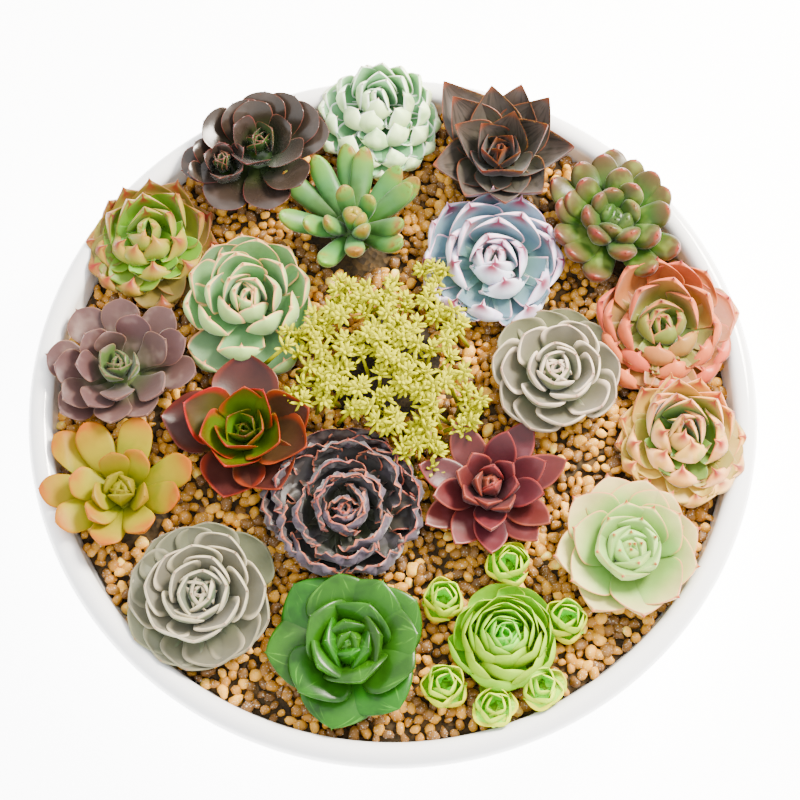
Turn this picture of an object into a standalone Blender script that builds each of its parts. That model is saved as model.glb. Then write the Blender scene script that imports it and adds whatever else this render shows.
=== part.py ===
"""Succulent dish garden: a shallow glazed bowl with soil, gravel and succulent plants.

All sizes here are in millimetres and are turned to metres where a mesh is made.
The origin is the middle of the bowl's foot, +Z is up, and -Y is the side the photograph is taken from.
"""
import math
import random

import bmesh
import bpy
from mathutils import Vector

MM = 0.001

# Bowl
RIM_RADIUS = 150.0
RIM_HEIGHT = 75.0
RIM_ROUND = 5.0
RIM_POINTS = 5
FOOT_RADIUS = 84.0
FOOT_WIDTH = 8.0
FOOT_RECESS = 4.0
FOOT_BEVEL = 1.5
FOOT_HEIGHT = 5.0
WALL = 8.5
WALL_CURVE = 0.62
FLOOR_TOP = 14.0
INNER_HEIGHTS = (FLOOR_TOP, 24.0, 40.0, 58.0, RIM_HEIGHT - RIM_ROUND)
OUTER_HEIGHTS = (12.0, 28.0, 48.0)
OUTER_SHIFT = 4.0
BOWL_STEPS = 40
FIT_GAP = 0.35

# Filling
GRAVEL_LEVEL = 64.0
SOIL_LEVEL = 55.0
SOIL_STEPS = 28
PEBBLE_PITCH = 16.0
PEBBLE_RISE = 1.8
PEBBLE_SHIFT = 1.1
RELIEF_BOTTOM = SOIL_LEVEL - 6.0
RELIEF_TOP = GRAVEL_LEVEL + 6.0
MOUND_RADIUS = 21.0
MOUND_TAPER = 3.0
MOUND_TOP = GRAVEL_LEVEL + 0.6
MOUND_DEPTH = 12.0
MOUND_STEPS = 14

# Stems
STEM_RADIUS = 2.4
STEM_SIDES = 5
STEM_HOLE_RADIUS = 3.1
STEM_HOLE_TOP = GRAVEL_LEVEL + 20.0
STEM_FOOT = 48.0
STEM_RING = 124.0
NECK = GRAVEL_LEVEL + 2.4

# Crowns, which the leaves grow from: shares of the plant's room and of its heart's height
CROWN_SHARE = 0.27
CROWN_EDGE = 5.2
CROWN_SHOULDER = (0.7, 0.55)
CROWN_TOP = 0.8
LEAF_ROOT_SHARE = 0.45
LOWEST_ROOT = 4.8

# Leaves: widths and depth beside the sizes that the list of plants gives, at the heart and at the edge
LEAF_WIDTH_SHARES = (0.72, 1.04)
LEAF_DEPTH_SHARES = (0.59, 0.84)
TIP_SPACING = 13.0
SPACING_SHARE = 0.64
FULL_FROM = 0.84

# Room between neighbours
PLANT_GAP = 0.4
SOFT_EDGE = 2.0
LIFT = 1.2
HIGHEST_OVER = 4.0
NEAR = 12.0
LEAST_ROOM = 2.0
OUTER_LIMIT = 149.2
RIM_REST = RIM_HEIGHT + 0.5
RIM_REST_FROM = 127.0
RIM_REST_RUN = 9.0
GRAVEL_REST = GRAVEL_LEVEL + 2.2
MEET_HEIGHT = GRAVEL_LEVEL + 10.0

# Leaf outlines: share of the length, share of the full width, share of the full thickness.
# The first ring is sunk in the crown. Leaves near the heart leave out the second ring.
SPOON = ((0.0, 0.2, 0.6), (0.5, 0.66, 1.0), (0.8, 1.0, 0.8))
BLUNT = ((0.0, 0.25, 0.6), (0.45, 0.85, 1.0), (0.84, 0.9, 0.9))
POINTED = ((0.0, 0.25, 0.6), (0.4, 0.95, 1.0), (0.72, 0.7, 0.7))
OVATE = ((0.0, 0.25, 0.6), (0.45, 0.95, 1.0), (0.8, 0.8, 0.7))
FINGER = ((0.0, 0.45, 0.5), (0.45, 0.9, 0.95), (0.88, 0.85, 0.8))
BUD = ((0.0, 0.3, 0.6), (0.7, 1.0, 1.0))

# Each plant: where its heart is seen, how much room it takes, heights of the leaf tips over the gravel
# (heart, middle, edge), leaf widths (heart, edge), thickness, outline, bow and cup of the leaves,
# colour, and the rings of leaf tips: distance from the heart, then the azimuths of that ring.
PLANTS = {
    "brown": dict(
        heart=(-58, 111), middle=(-60, 112), room=34, heights=(20, 21, 13), widths=(10, 23), thick=2.6,
        outline=SPOON, bow=0.12, cup=0.12, colour="5a3a36",
        rings=((35, (87,)), (32, (126, 9, 36, 279)), (36, (200, 238)), (22, (332, 60)), (18, (106,)),
               (13, (252,)))),
    "globe": dict(
        heart=(-5, 132), middle=(-6, 130), room=25, heights=(23, 27, 13), widths=(8, 15), thick=4.2,
        outline=BLUNT, bow=0.28, cup=0.3, colour="c9dccb",
        rings=((25, (250, 292, 335, 200, 165, 20)), (21, (272, 315, 225, 180, 355, 140, 60)),
               (15, (258, 205, 300, 110, 40)), (9, (327, 186, 80)), (5, (240, 20)))),
    "dark": dict(
        heart=(46, 108), middle=(48, 114), room=30, heights=(19, 24, 15), widths=(9, 22), thick=3.0,
        outline=POINTED, bow=0.1, cup=0.3, colour="5b5146",
        rings=((34, (124, 75, 52)), (30, (200, 243, 0, 305, 95)), (21, (150, 71, 272, 23)),
               (12, (136, 242, 340)), (6, (60, 200)))),
    "finger": dict(
        heart=(-17, 74), middle=(-18, 81), room=31, heights=(24, 23, 12), widths=(7, 9), thick=8.0,
        outline=FINGER, bow=-0.06, cup=0.0, colour="8fc08a",
        rings=((37, (146, 95, 84)), (32, (122, 178, 36, 50)), (28, (30, 241, 325, 62)),
               (20, (274, 194, 352)), (8, (110, 38, 300)))),
    "chunky": dict(
        heart=(93, 77), middle=(96, 79), room=30, heights=(17, 24, 11), widths=(6.5, 10.5), thick=5.6,
        outline=BLUNT, bow=0.14, cup=0.1, colour="7d8f4a",
        rings=((31, (116, 87, 60, 27)), (28, (141, 211, 245, 328, 280)), (24, (42, 155, 355, 178, 300)),
               (17, (265, 134, 75, 226)), (8, (192, 308, 103, 12)))),
    "blue": dict(
        heart=(42, 59), middle=(41, 61), room=29, heights=(22, 25, 11), widths=(8, 16), thick=3.6,
        outline=OVATE, bow=0.22, cup=0.3, colour="b4c6cc",
        rings=((28, (109, 136, 88, 62, 40, 200, 235, 270, 305, 345)),
               (21, (118, 82, 26, 145, 172, 256, 333)), (13, (180, 55, 294, 225)), (7, (16, 154, 260)))),
    "agave": dict(
        heart=(-102, 71), middle=(-103, 70), room=28, heights=(22, 25, 11), widths=(8, 17), thick=3.2,
        outline=OVATE, bow=0.2, cup=0.32, colour="9db052",
        rings=((27, (100, 124, 76, 141, 250, 290, 330, 20)), (24, (178, 356, 232, 50)),
               (17, (202, 277, 42, 312)), (11, (150, 345, 100)), (6, (228, 46)))),
    "pink_edge": dict(
        heart=(-60, 41), middle=(-61, 42), room=29, heights=(18, 21, 9), widths=(8, 18), thick=3.0,
        outline=SPOON, bow=0.18, cup=0.3, colour="a8c4a0",
        rings=((28, (98, 123, 56, 84, 156, 186, 231, 330)), (24, (135, 19, 264, 292, 350)),
               (19, (214, 341, 43, 107, 310)), (12, (303, 165, 240, 25)), (6, (90, 200)))),
    "coral": dict(
        heart=(111, 30), middle=(117, 34), room=28, heights=(18, 22, 11), widths=(9, 16), thick=3.0,
        outline=SPOON, bow=0.16, cup=0.25, colour="cf7a62",
        rings=((30, (50, 60, 10, 93)), (27, (31, 72, 150, 215, 258)), (22, (174, 324, 23, 340, 240, 290)),
               (16, (76, 190, 358, 116)), (8, (35, 290, 186)))),
    "lotus_right": dict(
        heart=(67, 8), middle=(66, 11), room=27, heights=(20, 22, 9), widths=(9, 19), thick=3.4,
        outline=BLUNT, bow=0.2, cup=0.3, colour="b5ae9f",
        rings=((26, (88, 126, 41, 165, 11, 330, 290, 250, 205)), (22, (275, 319, 56, 179, 132, 345, 225)),
               (16, (242, 290, 347, 20, 80)), (11, (190, 9, 120)), (6, (255, 134)))),
    "mauve": dict(
        heart=(-112, 9), middle=(-112, 13), room=32, heights=(20, 20, 11), widths=(9, 17), thick=3.8,
        outline=SPOON, bow=0.08, cup=0.15, colour="8d7a7c",
        rings=((34, (127, 54, 93, 169)), (31, (221, 356, 25)), (26, (266, 215, 73, 327, 240, 300)),
               (19, (185, 272, 139, 28)), (10, (112, 347, 238)), (5, (60,)))),
    "peach": dict(
        heart=(117, -17), middle=(115, -16), room=28, heights=(20, 25, 11), widths=(8, 16), thick=3.8,
        outline=OVATE, bow=0.24, cup=0.28, colour="e0a97f",
        rings=((27, (98, 164, 187, 56, 277, 320)), (25, (70, 130, 237, 359, 300, 212)),
               (20, (303, 196, 26, 95, 335)), (14, (144, 40, 275)), (10, (108, 1, 248)), (5, (60, 190)))),
    "red_green": dict(
        heart=(-61, -16), middle=(-64, -14), room=31, heights=(13, 20, 10), widths=(11, 26), thick=2.0,
        outline=OVATE, bow=0.14, cup=0.2, colour="6f4a2a",
        rings=((33, (91, 170)), (29, (257, 14, 312)), (25, (160,)), (17, (252, 59)), (12, (115, 200)),
               (7, (43, 240)))),
    "ruby": dict(
        heart=(39, -40), middle=(41, -38), room=30, heights=(18, 21, 11), widths=(9, 15), thick=4.2,
        outline=POINTED, bow=0.08, cup=0.2, colour="8c3140",
        rings=((32, (58, 20, 212)), (30, (117, 164, 308, 325, 240)), (23, (269, 71, 24, 140)),
               (14, (168, 125, 220, 320)), (10, (36, 348, 261)))),
    "ruffled": dict(
        heart=(-20, -50), middle=(-22, -44), room=32, heights=(14, 17, 8), widths=(11, 25), thick=1.8,
        outline=BLUNT, bow=0.2, cup=0.25, colour="5f555c",
        rings=((33, (104, 66, 130)), (30, (88, 38, 17, 156, 180)), (27, (207, 343, 274, 240, 310)),
               (18, (107, 45, 170)), (12, (117, 311, 225)), (7, (10, 130)))),
    "yellow": dict(
        heart=(-107, -43), middle=(-109, -39), room=31, heights=(19, 19, 11), widths=(8, 13), thick=5.0,
        outline=OVATE, bow=0.06, cup=0.15, colour="d8c838",
        rings=((37, (140, 121)), (32, (178, 81, 30, 208)), (26, (351, 254, 169)), (17, (107, 227, 64)),
               (11, (339, 200)), (6, (45, 140)))),
    "pale_large": dict(
        heart=(93, -67), middle=(92, -65), room=31, heights=(19, 21, 10), widths=(9, 19), thick=3.6,
        outline=SPOON, bow=0.12, cup=0.25, colour="cdddac",
        rings=((34, (103, 133, 53, 184)), (29, (350, 292, 275, 242, 326)), (24, (169, 22, 210, 78)),
               (15, (130, 70, 250, 0)), (11, (318, 190)), (6, (95, 16)))),
    "lotus_left": dict(
        heart=(-74, -85), middle=(-75, -84), room=32, heights=(19, 21, 9), widths=(10, 22), thick=3.6,
        outline=BLUNT, bow=0.2, cup=0.25, colour="a3a597",
        rings=((31, (42, 88, 133, 165, 214, 240, 285, 340, 12)), (26, (173, 7, 261, 313, 210, 65)),
               (19, (101, 309, 49, 266, 150)), (14, (144, 227, 350)), (8, (9, 250, 120)))),
    "haworthia": dict(
        heart=(-17, -105), middle=(-19, -105), room=33, heights=(18, 21, 9), widths=(12, 22), thick=5.6,
        outline=POINTED, bow=0.22, cup=0.1, colour="4f9a2f",
        rings=((33, (35, 131)), (31, (98, 259, 184, 309)), (26, (8, 230)), (18, (289, 146, 60)),
               (12, (200, 339, 100)), (6, (281, 17)))),
    "green_rose": dict(
        heart=(44, -101), middle=(43, -99), room=20, heights=(16, 17, 9), widths=(7, 15), thick=1.6,
        outline=BLUNT, bow=0.26, cup=0.3, colour="a5d84a",
        rings=((20, (110, 55, 160, 25, 205)), (17, (257, 308, 340, 221)), (13, (101, 167, 280, 32)),
               (9, (233, 340, 70)), (5, (150, 0)))),
}

# The small rosebuds round green_rose: place of the heart and radius
OFFSETS = (
    ((46.5, -70), 9.5), ((19, -86), 9.0), ((68, -93), 9.0), ((20, -119), 9.5), ((39, -128), 9.0),
    ((58, -119), 9.5),
)

# Plants whose leaves lie over a neighbour's: the upper one, the lower one, mm over it per mm of height
OVERLAPS = {("finger", "brown"): 0.9, ("sedum", "pink_edge"): 0.9, ("finger", "pink_edge"): 0.3}

SEDUM_MIDDLE = (-3, 16)
SEDUM_ROOM = 40
SEDUM_COLOUR = "f0e818"
# Sprig heads of the yellow sedum: distance from its middle, azimuths
SEDUM_SPRIGS = (
    (4, (290,)), (14, (39, 141, 315, 90, 210)), (24, (10, 130, 290, 330, 60, 165)),
    (31, (34, 110, 190, 228, 260, 345)), (37, (65, 140, 305)),
)
SEDUM_NEEDLES = 5
SEDUM_NEEDLE = 6.5
SEDUM_CROWN_RADIUS = 25.0
SEDUM_CROWN_HEIGHT = 11.0

parts = bpy.data.collections.new("succulent_dish_garden")
cutters = bpy.data.collections.new("cutters")


def clear_scene():
    for item in list(bpy.data.objects):
        bpy.data.objects.remove(item)
    bpy.context.scene.collection.children.link(parts)
    bpy.context.scene.collection.children.link(cutters)


def linear(hex_colour):
    """Turn an sRGB hex colour to the linear colour that a shader takes."""
    channels = [int(hex_colour[i:i + 2], 16) / 255 for i in (0, 2, 4)]
    return [c / 12.92 if c <= 0.04045 else ((c + 0.055) / 1.055) ** 2.4 for c in channels] + [1.0]


def finish(mesh_object, hex_colour, roughness):
    """Give a piece its own material and smooth shading with crisp edges."""
    material = bpy.data.materials.new(mesh_object.name)
    material.use_nodes = True
    shader = material.node_tree.nodes["Principled BSDF"]
    shader.inputs["Base Color"].default_value = linear(hex_colour)
    shader.inputs["Roughness"].default_value = roughness
    mesh_object.data.materials.clear()
    mesh_object.data.materials.append(material)
    mesh_object.data.shade_smooth()
    mesh_object.data.set_sharp_from_angle(angle=math.radians(35))
    return mesh_object


def new_object(name, mesh, collection):
    piece = bpy.data.objects.new(name, mesh)
    collection.objects.link(piece)
    return piece


def mesh_from(name, points, faces):
    """Make a mesh of points in millimetres."""
    mesh = bpy.data.meshes.new(name)
    mesh.from_pydata([(x * MM, y * MM, z * MM) for x, y, z in points], [], faces)
    return mesh


def turned(name, profile, steps, collection):
    """Turn a closed or axis-to-axis profile of (radius, height) points round the Z axis."""
    closed = profile[0][0] > 0
    edges = [(i, i + 1) for i in range(len(profile) - 1)]
    if closed:
        edges.append((len(profile) - 1, 0))
    mesh = bpy.data.meshes.new(name)
    mesh.from_pydata([(r * MM, 0, z * MM) for r, z in profile], edges, [])
    piece = new_object(name, mesh, collection)
    screw = piece.modifiers.new("turn", "SCREW")
    screw.steps = steps
    screw.render_steps = steps
    screw.use_merge_vertices = True
    screw.merge_threshold = 1e-5
    return piece


def boolean(piece, operation, other, solver="EXACT"):
    """Add a Boolean with one object or a collection of objects."""
    cut = piece.modifiers.new(operation.lower(), "BOOLEAN")
    cut.operation = operation
    cut.solver = solver
    if isinstance(other, bpy.types.Collection):
        cut.operand_type = "COLLECTION"
        cut.collection = other
    else:
        cut.object = other


def apply_modifiers(piece):
    """Replace the piece's mesh by its evaluated mesh."""
    bpy.context.view_layer.update()
    evaluated = piece.evaluated_get(bpy.context.evaluated_depsgraph_get())
    mesh = bpy.data.meshes.new_from_object(evaluated)
    piece.modifiers.clear()
    piece.data = mesh


def guide(piece):
    """Mark a piece as a cutter, which is no part of the object."""
    piece.hide_render = True
    piece.display_type = "WIRE"
    return piece


def arc(middle, radius, start, end, count):
    """Points of an arc, angles in degrees."""
    angles = [math.radians(start + (end - start) * i / (count - 1)) for i in range(count)]
    return [(middle[0] + radius * math.cos(a), middle[1] + radius * math.sin(a)) for a in angles]


def wall_radius(height):
    """Radius of the bowl's inner wall at a height over the foot."""
    low = FLOOR_TOP
    share = max(0.0, min(1.0, (height - low) / (RIM_HEIGHT - RIM_ROUND - low)))
    widest = RIM_RADIUS - 2 * RIM_ROUND
    narrow = FOOT_RADIUS - FOOT_WIDTH / 2
    return narrow + (widest - narrow) * math.sin(share * math.pi / 2) ** WALL_CURVE


def make_bowl():
    rim = arc((RIM_RADIUS - RIM_ROUND, RIM_HEIGHT - RIM_ROUND), RIM_ROUND, 0, 180, RIM_POINTS)
    inner = [(wall_radius(h), h) for h in INNER_HEIGHTS[-2::-1]]
    outer = [(wall_radius(h + OUTER_SHIFT) + WALL, h) for h in OUTER_HEIGHTS]
    foot = [
        (0, FOOT_RECESS), (FOOT_RADIUS - FOOT_WIDTH - FOOT_BEVEL, FOOT_RECESS),
        (FOOT_RADIUS - FOOT_WIDTH, 0), (FOOT_RADIUS, 0), (FOOT_RADIUS + FOOT_BEVEL, FOOT_HEIGHT),
    ]
    profile = foot + outer + rim + inner + [(0, FLOOR_TOP)]
    bowl = turned("bowl", profile[::-1], BOWL_STEPS, parts)
    return finish(bowl, "f2f1ec", 0.12)


def room_for_wall(height):
    """Radius that stays clear of the bowl's faceted inner wall."""
    for low, high in zip(INNER_HEIGHTS, INNER_HEIGHTS[1:]):
        if low <= height <= high:
            share = (height - low) / (high - low)
            radius = between(wall_radius(low), wall_radius(high), share)
            return radius * math.cos(math.pi / BOWL_STEPS) - FIT_GAP
    raise ValueError("height outside the bowl")


def cylinder(name, radius, top_radius, depth, segments, place, collection):
    """A closed cylinder or cone with its middle at a place in millimetres, used as a cutter or a mound."""
    bm = bmesh.new()
    bmesh.ops.create_cone(
        bm, cap_ends=True, segments=segments, radius1=radius * MM, radius2=top_radius * MM, depth=depth * MM)
    mesh = bpy.data.meshes.new(name)
    bm.to_mesh(mesh)
    bm.free()
    piece = guide(new_object(name, mesh, collection))
    piece.location = Vector(place) * MM
    return piece


def stem_cutters(stems):
    """Plain holes for the stems, through the gravel and down into the soil."""
    bottom = STEM_FOOT - FIT_GAP
    depth = STEM_HOLE_TOP - bottom
    for index, (x, y) in enumerate(stems):
        cylinder(
            "stem_hole_%02d" % index, STEM_HOLE_RADIUS, STEM_HOLE_RADIUS, depth, STEM_SIDES,
            (x, y, bottom + depth / 2), cutters)


def make_soil():
    """The filling under the gravel, with a mound where the sedum stands."""
    heights = (SOIL_LEVEL, 40.0, 24.0, FLOOR_TOP + FIT_GAP)
    profile = [(0, SOIL_LEVEL)] + [(room_for_wall(h), h) for h in heights] + [(0, FLOOR_TOP + FIT_GAP)]
    soil = turned("soil", profile, SOIL_STEPS, parts)
    mound = cylinder(
        "soil_mound", MOUND_RADIUS, MOUND_RADIUS - MOUND_TAPER, MOUND_DEPTH, MOUND_STEPS,
        (*SEDUM_MIDDLE, MOUND_TOP - MOUND_DEPTH / 2), bpy.data.collections.new("mound"))
    boolean(soil, "UNION", mound)
    boolean(soil, "DIFFERENCE", cutters)
    apply_modifiers(soil)
    bpy.data.objects.remove(mound)
    return finish(soil, "33241a", 0.95)


def pebble_relief():
    """A block whose top is a field of pebbles larger than life, uneven peaks on a hexagonal lattice."""
    draw = random.Random(7)
    row_step = PEBBLE_PITCH * math.sqrt(3) / 2
    columns = int(2 * RIM_RADIUS / PEBBLE_PITCH) + 2
    rows = int(2 * RIM_RADIUS / row_step) + 2
    bm = bmesh.new()
    bmesh.ops.create_grid(bm, x_segments=columns, y_segments=rows, size=RIM_RADIUS * MM)
    for index, vert in enumerate(bm.verts):
        row, column = divmod(index, columns + 1)
        odd = row % 2
        peak = (column + 2 * odd) % 3 == 0
        rise = PEBBLE_RISE * (draw.uniform(0.5, 1.0) if peak else -draw.uniform(0.2, 0.9))
        x = (column - columns / 2 + odd / 2) * PEBBLE_PITCH + draw.uniform(-PEBBLE_SHIFT, PEBBLE_SHIFT)
        y = (row - rows / 2) * row_step + draw.uniform(-PEBBLE_SHIFT, PEBBLE_SHIFT)
        vert.co = Vector((x, y, GRAVEL_LEVEL + rise)) * MM
    bmesh.ops.triangulate(bm, faces=bm.faces)
    below = bmesh.ops.extrude_face_region(bm, geom=bm.faces[:])
    for item in below["geom"]:
        if isinstance(item, bmesh.types.BMVert):
            item.co.z = RELIEF_BOTTOM * MM
    bmesh.ops.recalc_face_normals(bm, faces=bm.faces)
    mesh = bpy.data.meshes.new("relief")
    bm.to_mesh(mesh)
    bm.free()
    return guide(new_object("relief", mesh, bpy.data.collections.new("relief")))


def make_gravel():
    """A disc with a pebbled top that lies on the soil, with holes for the stems and round the mound."""
    relief = pebble_relief()
    bottom = SOIL_LEVEL + FIT_GAP
    low_radius = room_for_wall(bottom)
    profile = [(0, RELIEF_TOP), (low_radius, RELIEF_TOP), (low_radius, bottom), (0, bottom)]
    gravel = turned("gravel", profile, BOWL_STEPS, parts)
    mound_hole = cylinder(
        "mound_hole", MOUND_RADIUS + 2 * FIT_GAP, MOUND_RADIUS + 2 * FIT_GAP, RELIEF_TOP - RELIEF_BOTTOM + 2,
        MOUND_STEPS, (*SEDUM_MIDDLE, (RELIEF_TOP + RELIEF_BOTTOM) / 2), cutters)
    boolean(gravel, "INTERSECT", relief)
    boolean(gravel, "DIFFERENCE", cutters)
    apply_modifiers(gravel)
    bpy.data.objects.remove(relief)
    bpy.data.objects.remove(mound_hole)
    return finish(gravel, "c8954f", 0.6)


class Cells:
    """The room of each plant: a plane to each neighbour, the bowl's rim outside, the gravel below."""

    def __init__(self):
        self.sites = {name: (Vector(p["middle"]), float(p["room"])) for name, p in PLANTS.items()}
        self.sites["sedum"] = (Vector(SEDUM_MIDDLE), float(SEDUM_ROOM))
        for index, (place, radius) in enumerate(OFFSETS, 1):
            self.sites["offset_%d" % index] = (Vector(place), radius)
        self.planes = {name: self.planes_of(name) for name in self.sites}

    def planes_of(self, name):
        here, radius = self.sites[name]
        planes = []
        for other, (there, other_radius) in self.sites.items():
            across = there - here
            apart = across.length
            if other == name or apart > radius + other_radius + NEAR:
                continue
            share = (apart ** 2 + radius ** 2 - other_radius ** 2) / (2 * apart)
            run = OVERLAPS.get((name, other), 0.0) - OVERLAPS.get((other, name), 0.0)
            unit = across / apart
            normal = Vector((unit.x, unit.y, -run))
            point = Vector((here.x + unit.x * share, here.y + unit.y * share, MEET_HEIGHT))
            planes.append((normal.normalized(), point))
        return planes

    def room(self, name, start, direction, height):
        """How far a tip may be from start, at a height, before it meets a neighbour or the rim's outside."""
        flat = Vector(start)
        inside = flat.dot(direction)
        outside = flat.length_squared - (OUTER_LIMIT - 1) ** 2
        best = -inside + math.sqrt(max(0.0, inside ** 2 - outside))
        begin = Vector((start[0], start[1], height))
        step = Vector((direction.x, direction.y, 0))
        for normal, point in self.planes[name]:
            slope = step.dot(normal)
            if slope > 0.05:
                best = min(best, ((point - begin).dot(normal) - PLANT_GAP) / slope)
        return max(best, LEAST_ROOM)

    def clear(self, name, point):
        """Move a point softly out of the neighbours' room, off the gravel and inside the rim."""
        place = Vector(point)
        for _ in range(2):
            for normal, on_plane in self.planes[name]:
                inside = (on_plane - place).dot(normal)
                if inside < PLANT_GAP + SOFT_EDGE:
                    moved = PLANT_GAP + SOFT_EDGE * math.exp((inside - PLANT_GAP - SOFT_EDGE) / SOFT_EDGE)
                    place -= normal * (moved - inside)
        radius = math.hypot(place.x, place.y)
        if radius > OUTER_LIMIT - SOFT_EDGE:
            over = (OUTER_LIMIT - SOFT_EDGE - radius) / SOFT_EDGE
            limited = OUTER_LIMIT - SOFT_EDGE * math.exp(max(over, -20.0))
            place.x *= limited / radius
            place.y *= limited / radius
            radius = limited
        share = max(0.0, min(1.0, (radius - RIM_REST_FROM) / RIM_REST_RUN))
        ground = GRAVEL_REST + (RIM_REST - GRAVEL_REST) * share * share * (3 - 2 * share)
        if place.z < ground + SOFT_EDGE:
            place.z = ground + SOFT_EDGE * math.exp((place.z - ground - SOFT_EDGE) / SOFT_EDGE)
        return place


def root_place(heart):
    """Where the stem stands: under the heart, but never too near the bowl's wall."""
    radius = math.hypot(*heart)
    share = min(1.0, STEM_RING / radius)
    return Vector((heart[0] * share, heart[1] * share))


def between(low, high, share):
    return low + (high - low) * share


def tip_height(heights, share):
    """Height of a tip over the gravel: heart, middle and edge heights joined by a smooth curve."""
    heart, middle, edge = heights
    a = 2 * heart - 4 * middle + 2 * edge
    b = -3 * heart + 4 * middle - edge
    return a * share * share + b * share + heart


def leaf(plant, cells, name, azimuth, reach, widest_reach):
    """Loft one leaf along a bowed line from the core to its tip: points and triangles.

    Each ring has four points: left edge, middle of the upper face, right edge, middle of the lower face.
    """
    angle = math.radians(azimuth)
    out = Vector((math.cos(angle), math.sin(angle)))
    across = Vector((-out.y, out.x, 0))
    share = reach / widest_reach
    heart = Vector(plant["heart"])
    root = root_place(plant["heart"])
    height = tip_height(plant["heights"], share)
    free = cells.room(name, heart, out, GRAVEL_LEVEL + height)
    if reach > free:
        height = min(height + (reach - free) * LIFT, max(plant["heights"]) + HIGHEST_OVER)
        reach = free
    base_height = between(plant["heights"][0] * LEAF_ROOT_SHARE, LOWEST_ROOT, share)
    base_middle = root.lerp(heart, min(1.0, base_height / (plant["heights"][0] * CROWN_TOP)))
    base_reach = CROWN_SHARE * plant["room"] * LEAF_ROOT_SHARE
    base = Vector((*(base_middle + out * base_reach), GRAVEL_LEVEL + base_height))
    tip = Vector((heart.x + out.x * reach, heart.y + out.y * reach, GRAVEL_LEVEL + height))
    chord = tip - base
    over = chord.normalized().cross(across)
    bend = (base + tip) / 2 - over * chord.length * plant["bow"]
    width = between(*LEAF_WIDTH_SHARES, share) * between(*plant["widths"], share) / 2
    thick = between(*LEAF_DEPTH_SHARES, share) * plant["thick"] / 2
    outline = plant["outline"]
    if share < FULL_FROM:
        outline = (outline[0], outline[-1])
    points = []
    for t, wide, deep in outline:
        middle = base * (1 - t) ** 2 + bend * 2 * t * (1 - t) + tip * t * t
        along = ((bend - base) * (1 - t) + (tip - bend) * t).normalized()
        side = (across - along * across.dot(along)).normalized()
        normal = along.cross(side)
        raised = normal * plant["cup"] * width * wide
        edge = side * width * wide
        points.append(middle + edge + raised)
        points.append(middle + normal * thick * deep)
        points.append(middle - edge + raised)
        points.append(middle - normal * thick * deep)
    points.append(tip)
    faces = [(0, 2, 1), (0, 3, 2)]
    for ring in range(len(outline) - 1):
        a = 4 * ring
        for edge, middle in ((0, 1), (2, 3)):
            faces += [(a + edge, a + middle, a + edge + 4), (a + middle, a + middle + 4, a + edge + 4)]
        for middle, edge in ((1, 2), (3, 0)):
            faces += [(a + middle, a + edge, a + edge + 4), (a + middle, a + edge + 4, a + middle + 4)]
    last = 4 * (len(outline) - 1)
    end = len(points) - 1
    faces += [(last + i, last + (i + 1) % 4, end) for i in range(4)]
    return [cells.clear(name, p) for p in points], faces


def core(name, heart, heart_height, crown_radius):
    """The plant's short stem and its crown, leaning from its root to its heart."""
    root = root_place(heart)
    top = GRAVEL_LEVEL + heart_height * CROWN_TOP
    shoulder_radius, shoulder_height = CROWN_SHOULDER
    profile = [
        (0, top), (crown_radius * shoulder_radius, GRAVEL_LEVEL + heart_height * shoulder_height),
        (crown_radius, GRAVEL_LEVEL + CROWN_EDGE), (STEM_RADIUS, NECK), (STEM_RADIUS, STEM_FOOT),
        (0, STEM_FOOT),
    ]
    stem = turned(name, profile, STEM_SIDES, parts)
    apply_modifiers(stem)
    for vert in stem.data.vertices:
        place = root.lerp(Vector(heart), max(0.0, (vert.co.z / MM - NECK) / (top - NECK)))
        vert.co.x += place.x * MM
        vert.co.y += place.y * MM
    return stem


def keep_outside(mesh):
    """Keep the largest connected surface: a loose scrap or the wall of a sealed hollow is dropped."""
    bm = bmesh.new()
    bm.from_mesh(mesh)
    waiting = set(bm.faces)
    shells = []
    while waiting:
        shell = {waiting.pop()}
        fresh = list(shell)
        while fresh:
            near = {face for edge in fresh.pop().edges for face in edge.link_faces} & waiting
            waiting -= near
            shell |= near
            fresh += near
        shells.append(shell)
    shells.sort(key=len)
    for shell in shells[:-1]:
        bmesh.ops.delete(bm, geom=list(shell), context="FACES")
    bm.to_mesh(mesh)
    bm.free()


def fuse(piece, shapes):
    """Join shapes, each a (points, faces) pair in millimetres, to the piece by one Boolean union."""
    repeats = bpy.data.collections.new(piece.name + "_repeats")
    bpy.context.scene.collection.children.link(repeats)
    for index, (points, faces) in enumerate(shapes):
        mesh = mesh_from("%s_%02d" % (piece.name, index), points, faces)
        new_object(mesh.name, mesh, repeats)
    boolean(piece, "UNION", repeats, "MANIFOLD")
    apply_modifiers(piece)
    keep_outside(piece.data)
    for item in list(repeats.objects):
        bpy.data.objects.remove(item)
    bpy.data.collections.remove(repeats)


def spaced_tips(plant):
    """Azimuth and reach of the leaves, without those whose tips lie close to a tip already taken."""
    spacing = max(TIP_SPACING, SPACING_SHARE * plant["widths"][1])
    kept = []
    for reach, azimuths in plant["rings"]:
        for azimuth in azimuths:
            angle = math.radians(azimuth)
            tip = Vector((math.cos(angle), math.sin(angle))) * reach
            if all((tip - other).length > spacing for _, _, other in kept):
                kept.append((azimuth, reach, tip))
    return [(azimuth, reach) for azimuth, reach, _ in kept]


def make_plant(name, plant, cells):
    piece = core(name, plant["heart"], plant["heights"][0], CROWN_SHARE * plant["room"])
    widest = max(reach for reach, _ in plant["rings"])
    leaves = [leaf(plant, cells, name, azimuth, reach, widest) for azimuth, reach in spaced_tips(plant)]
    if name == "brown":
        leaves += side_head(plant, cells)
    fuse(piece, leaves)
    return finish(piece, plant["colour"], 0.45)


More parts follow.
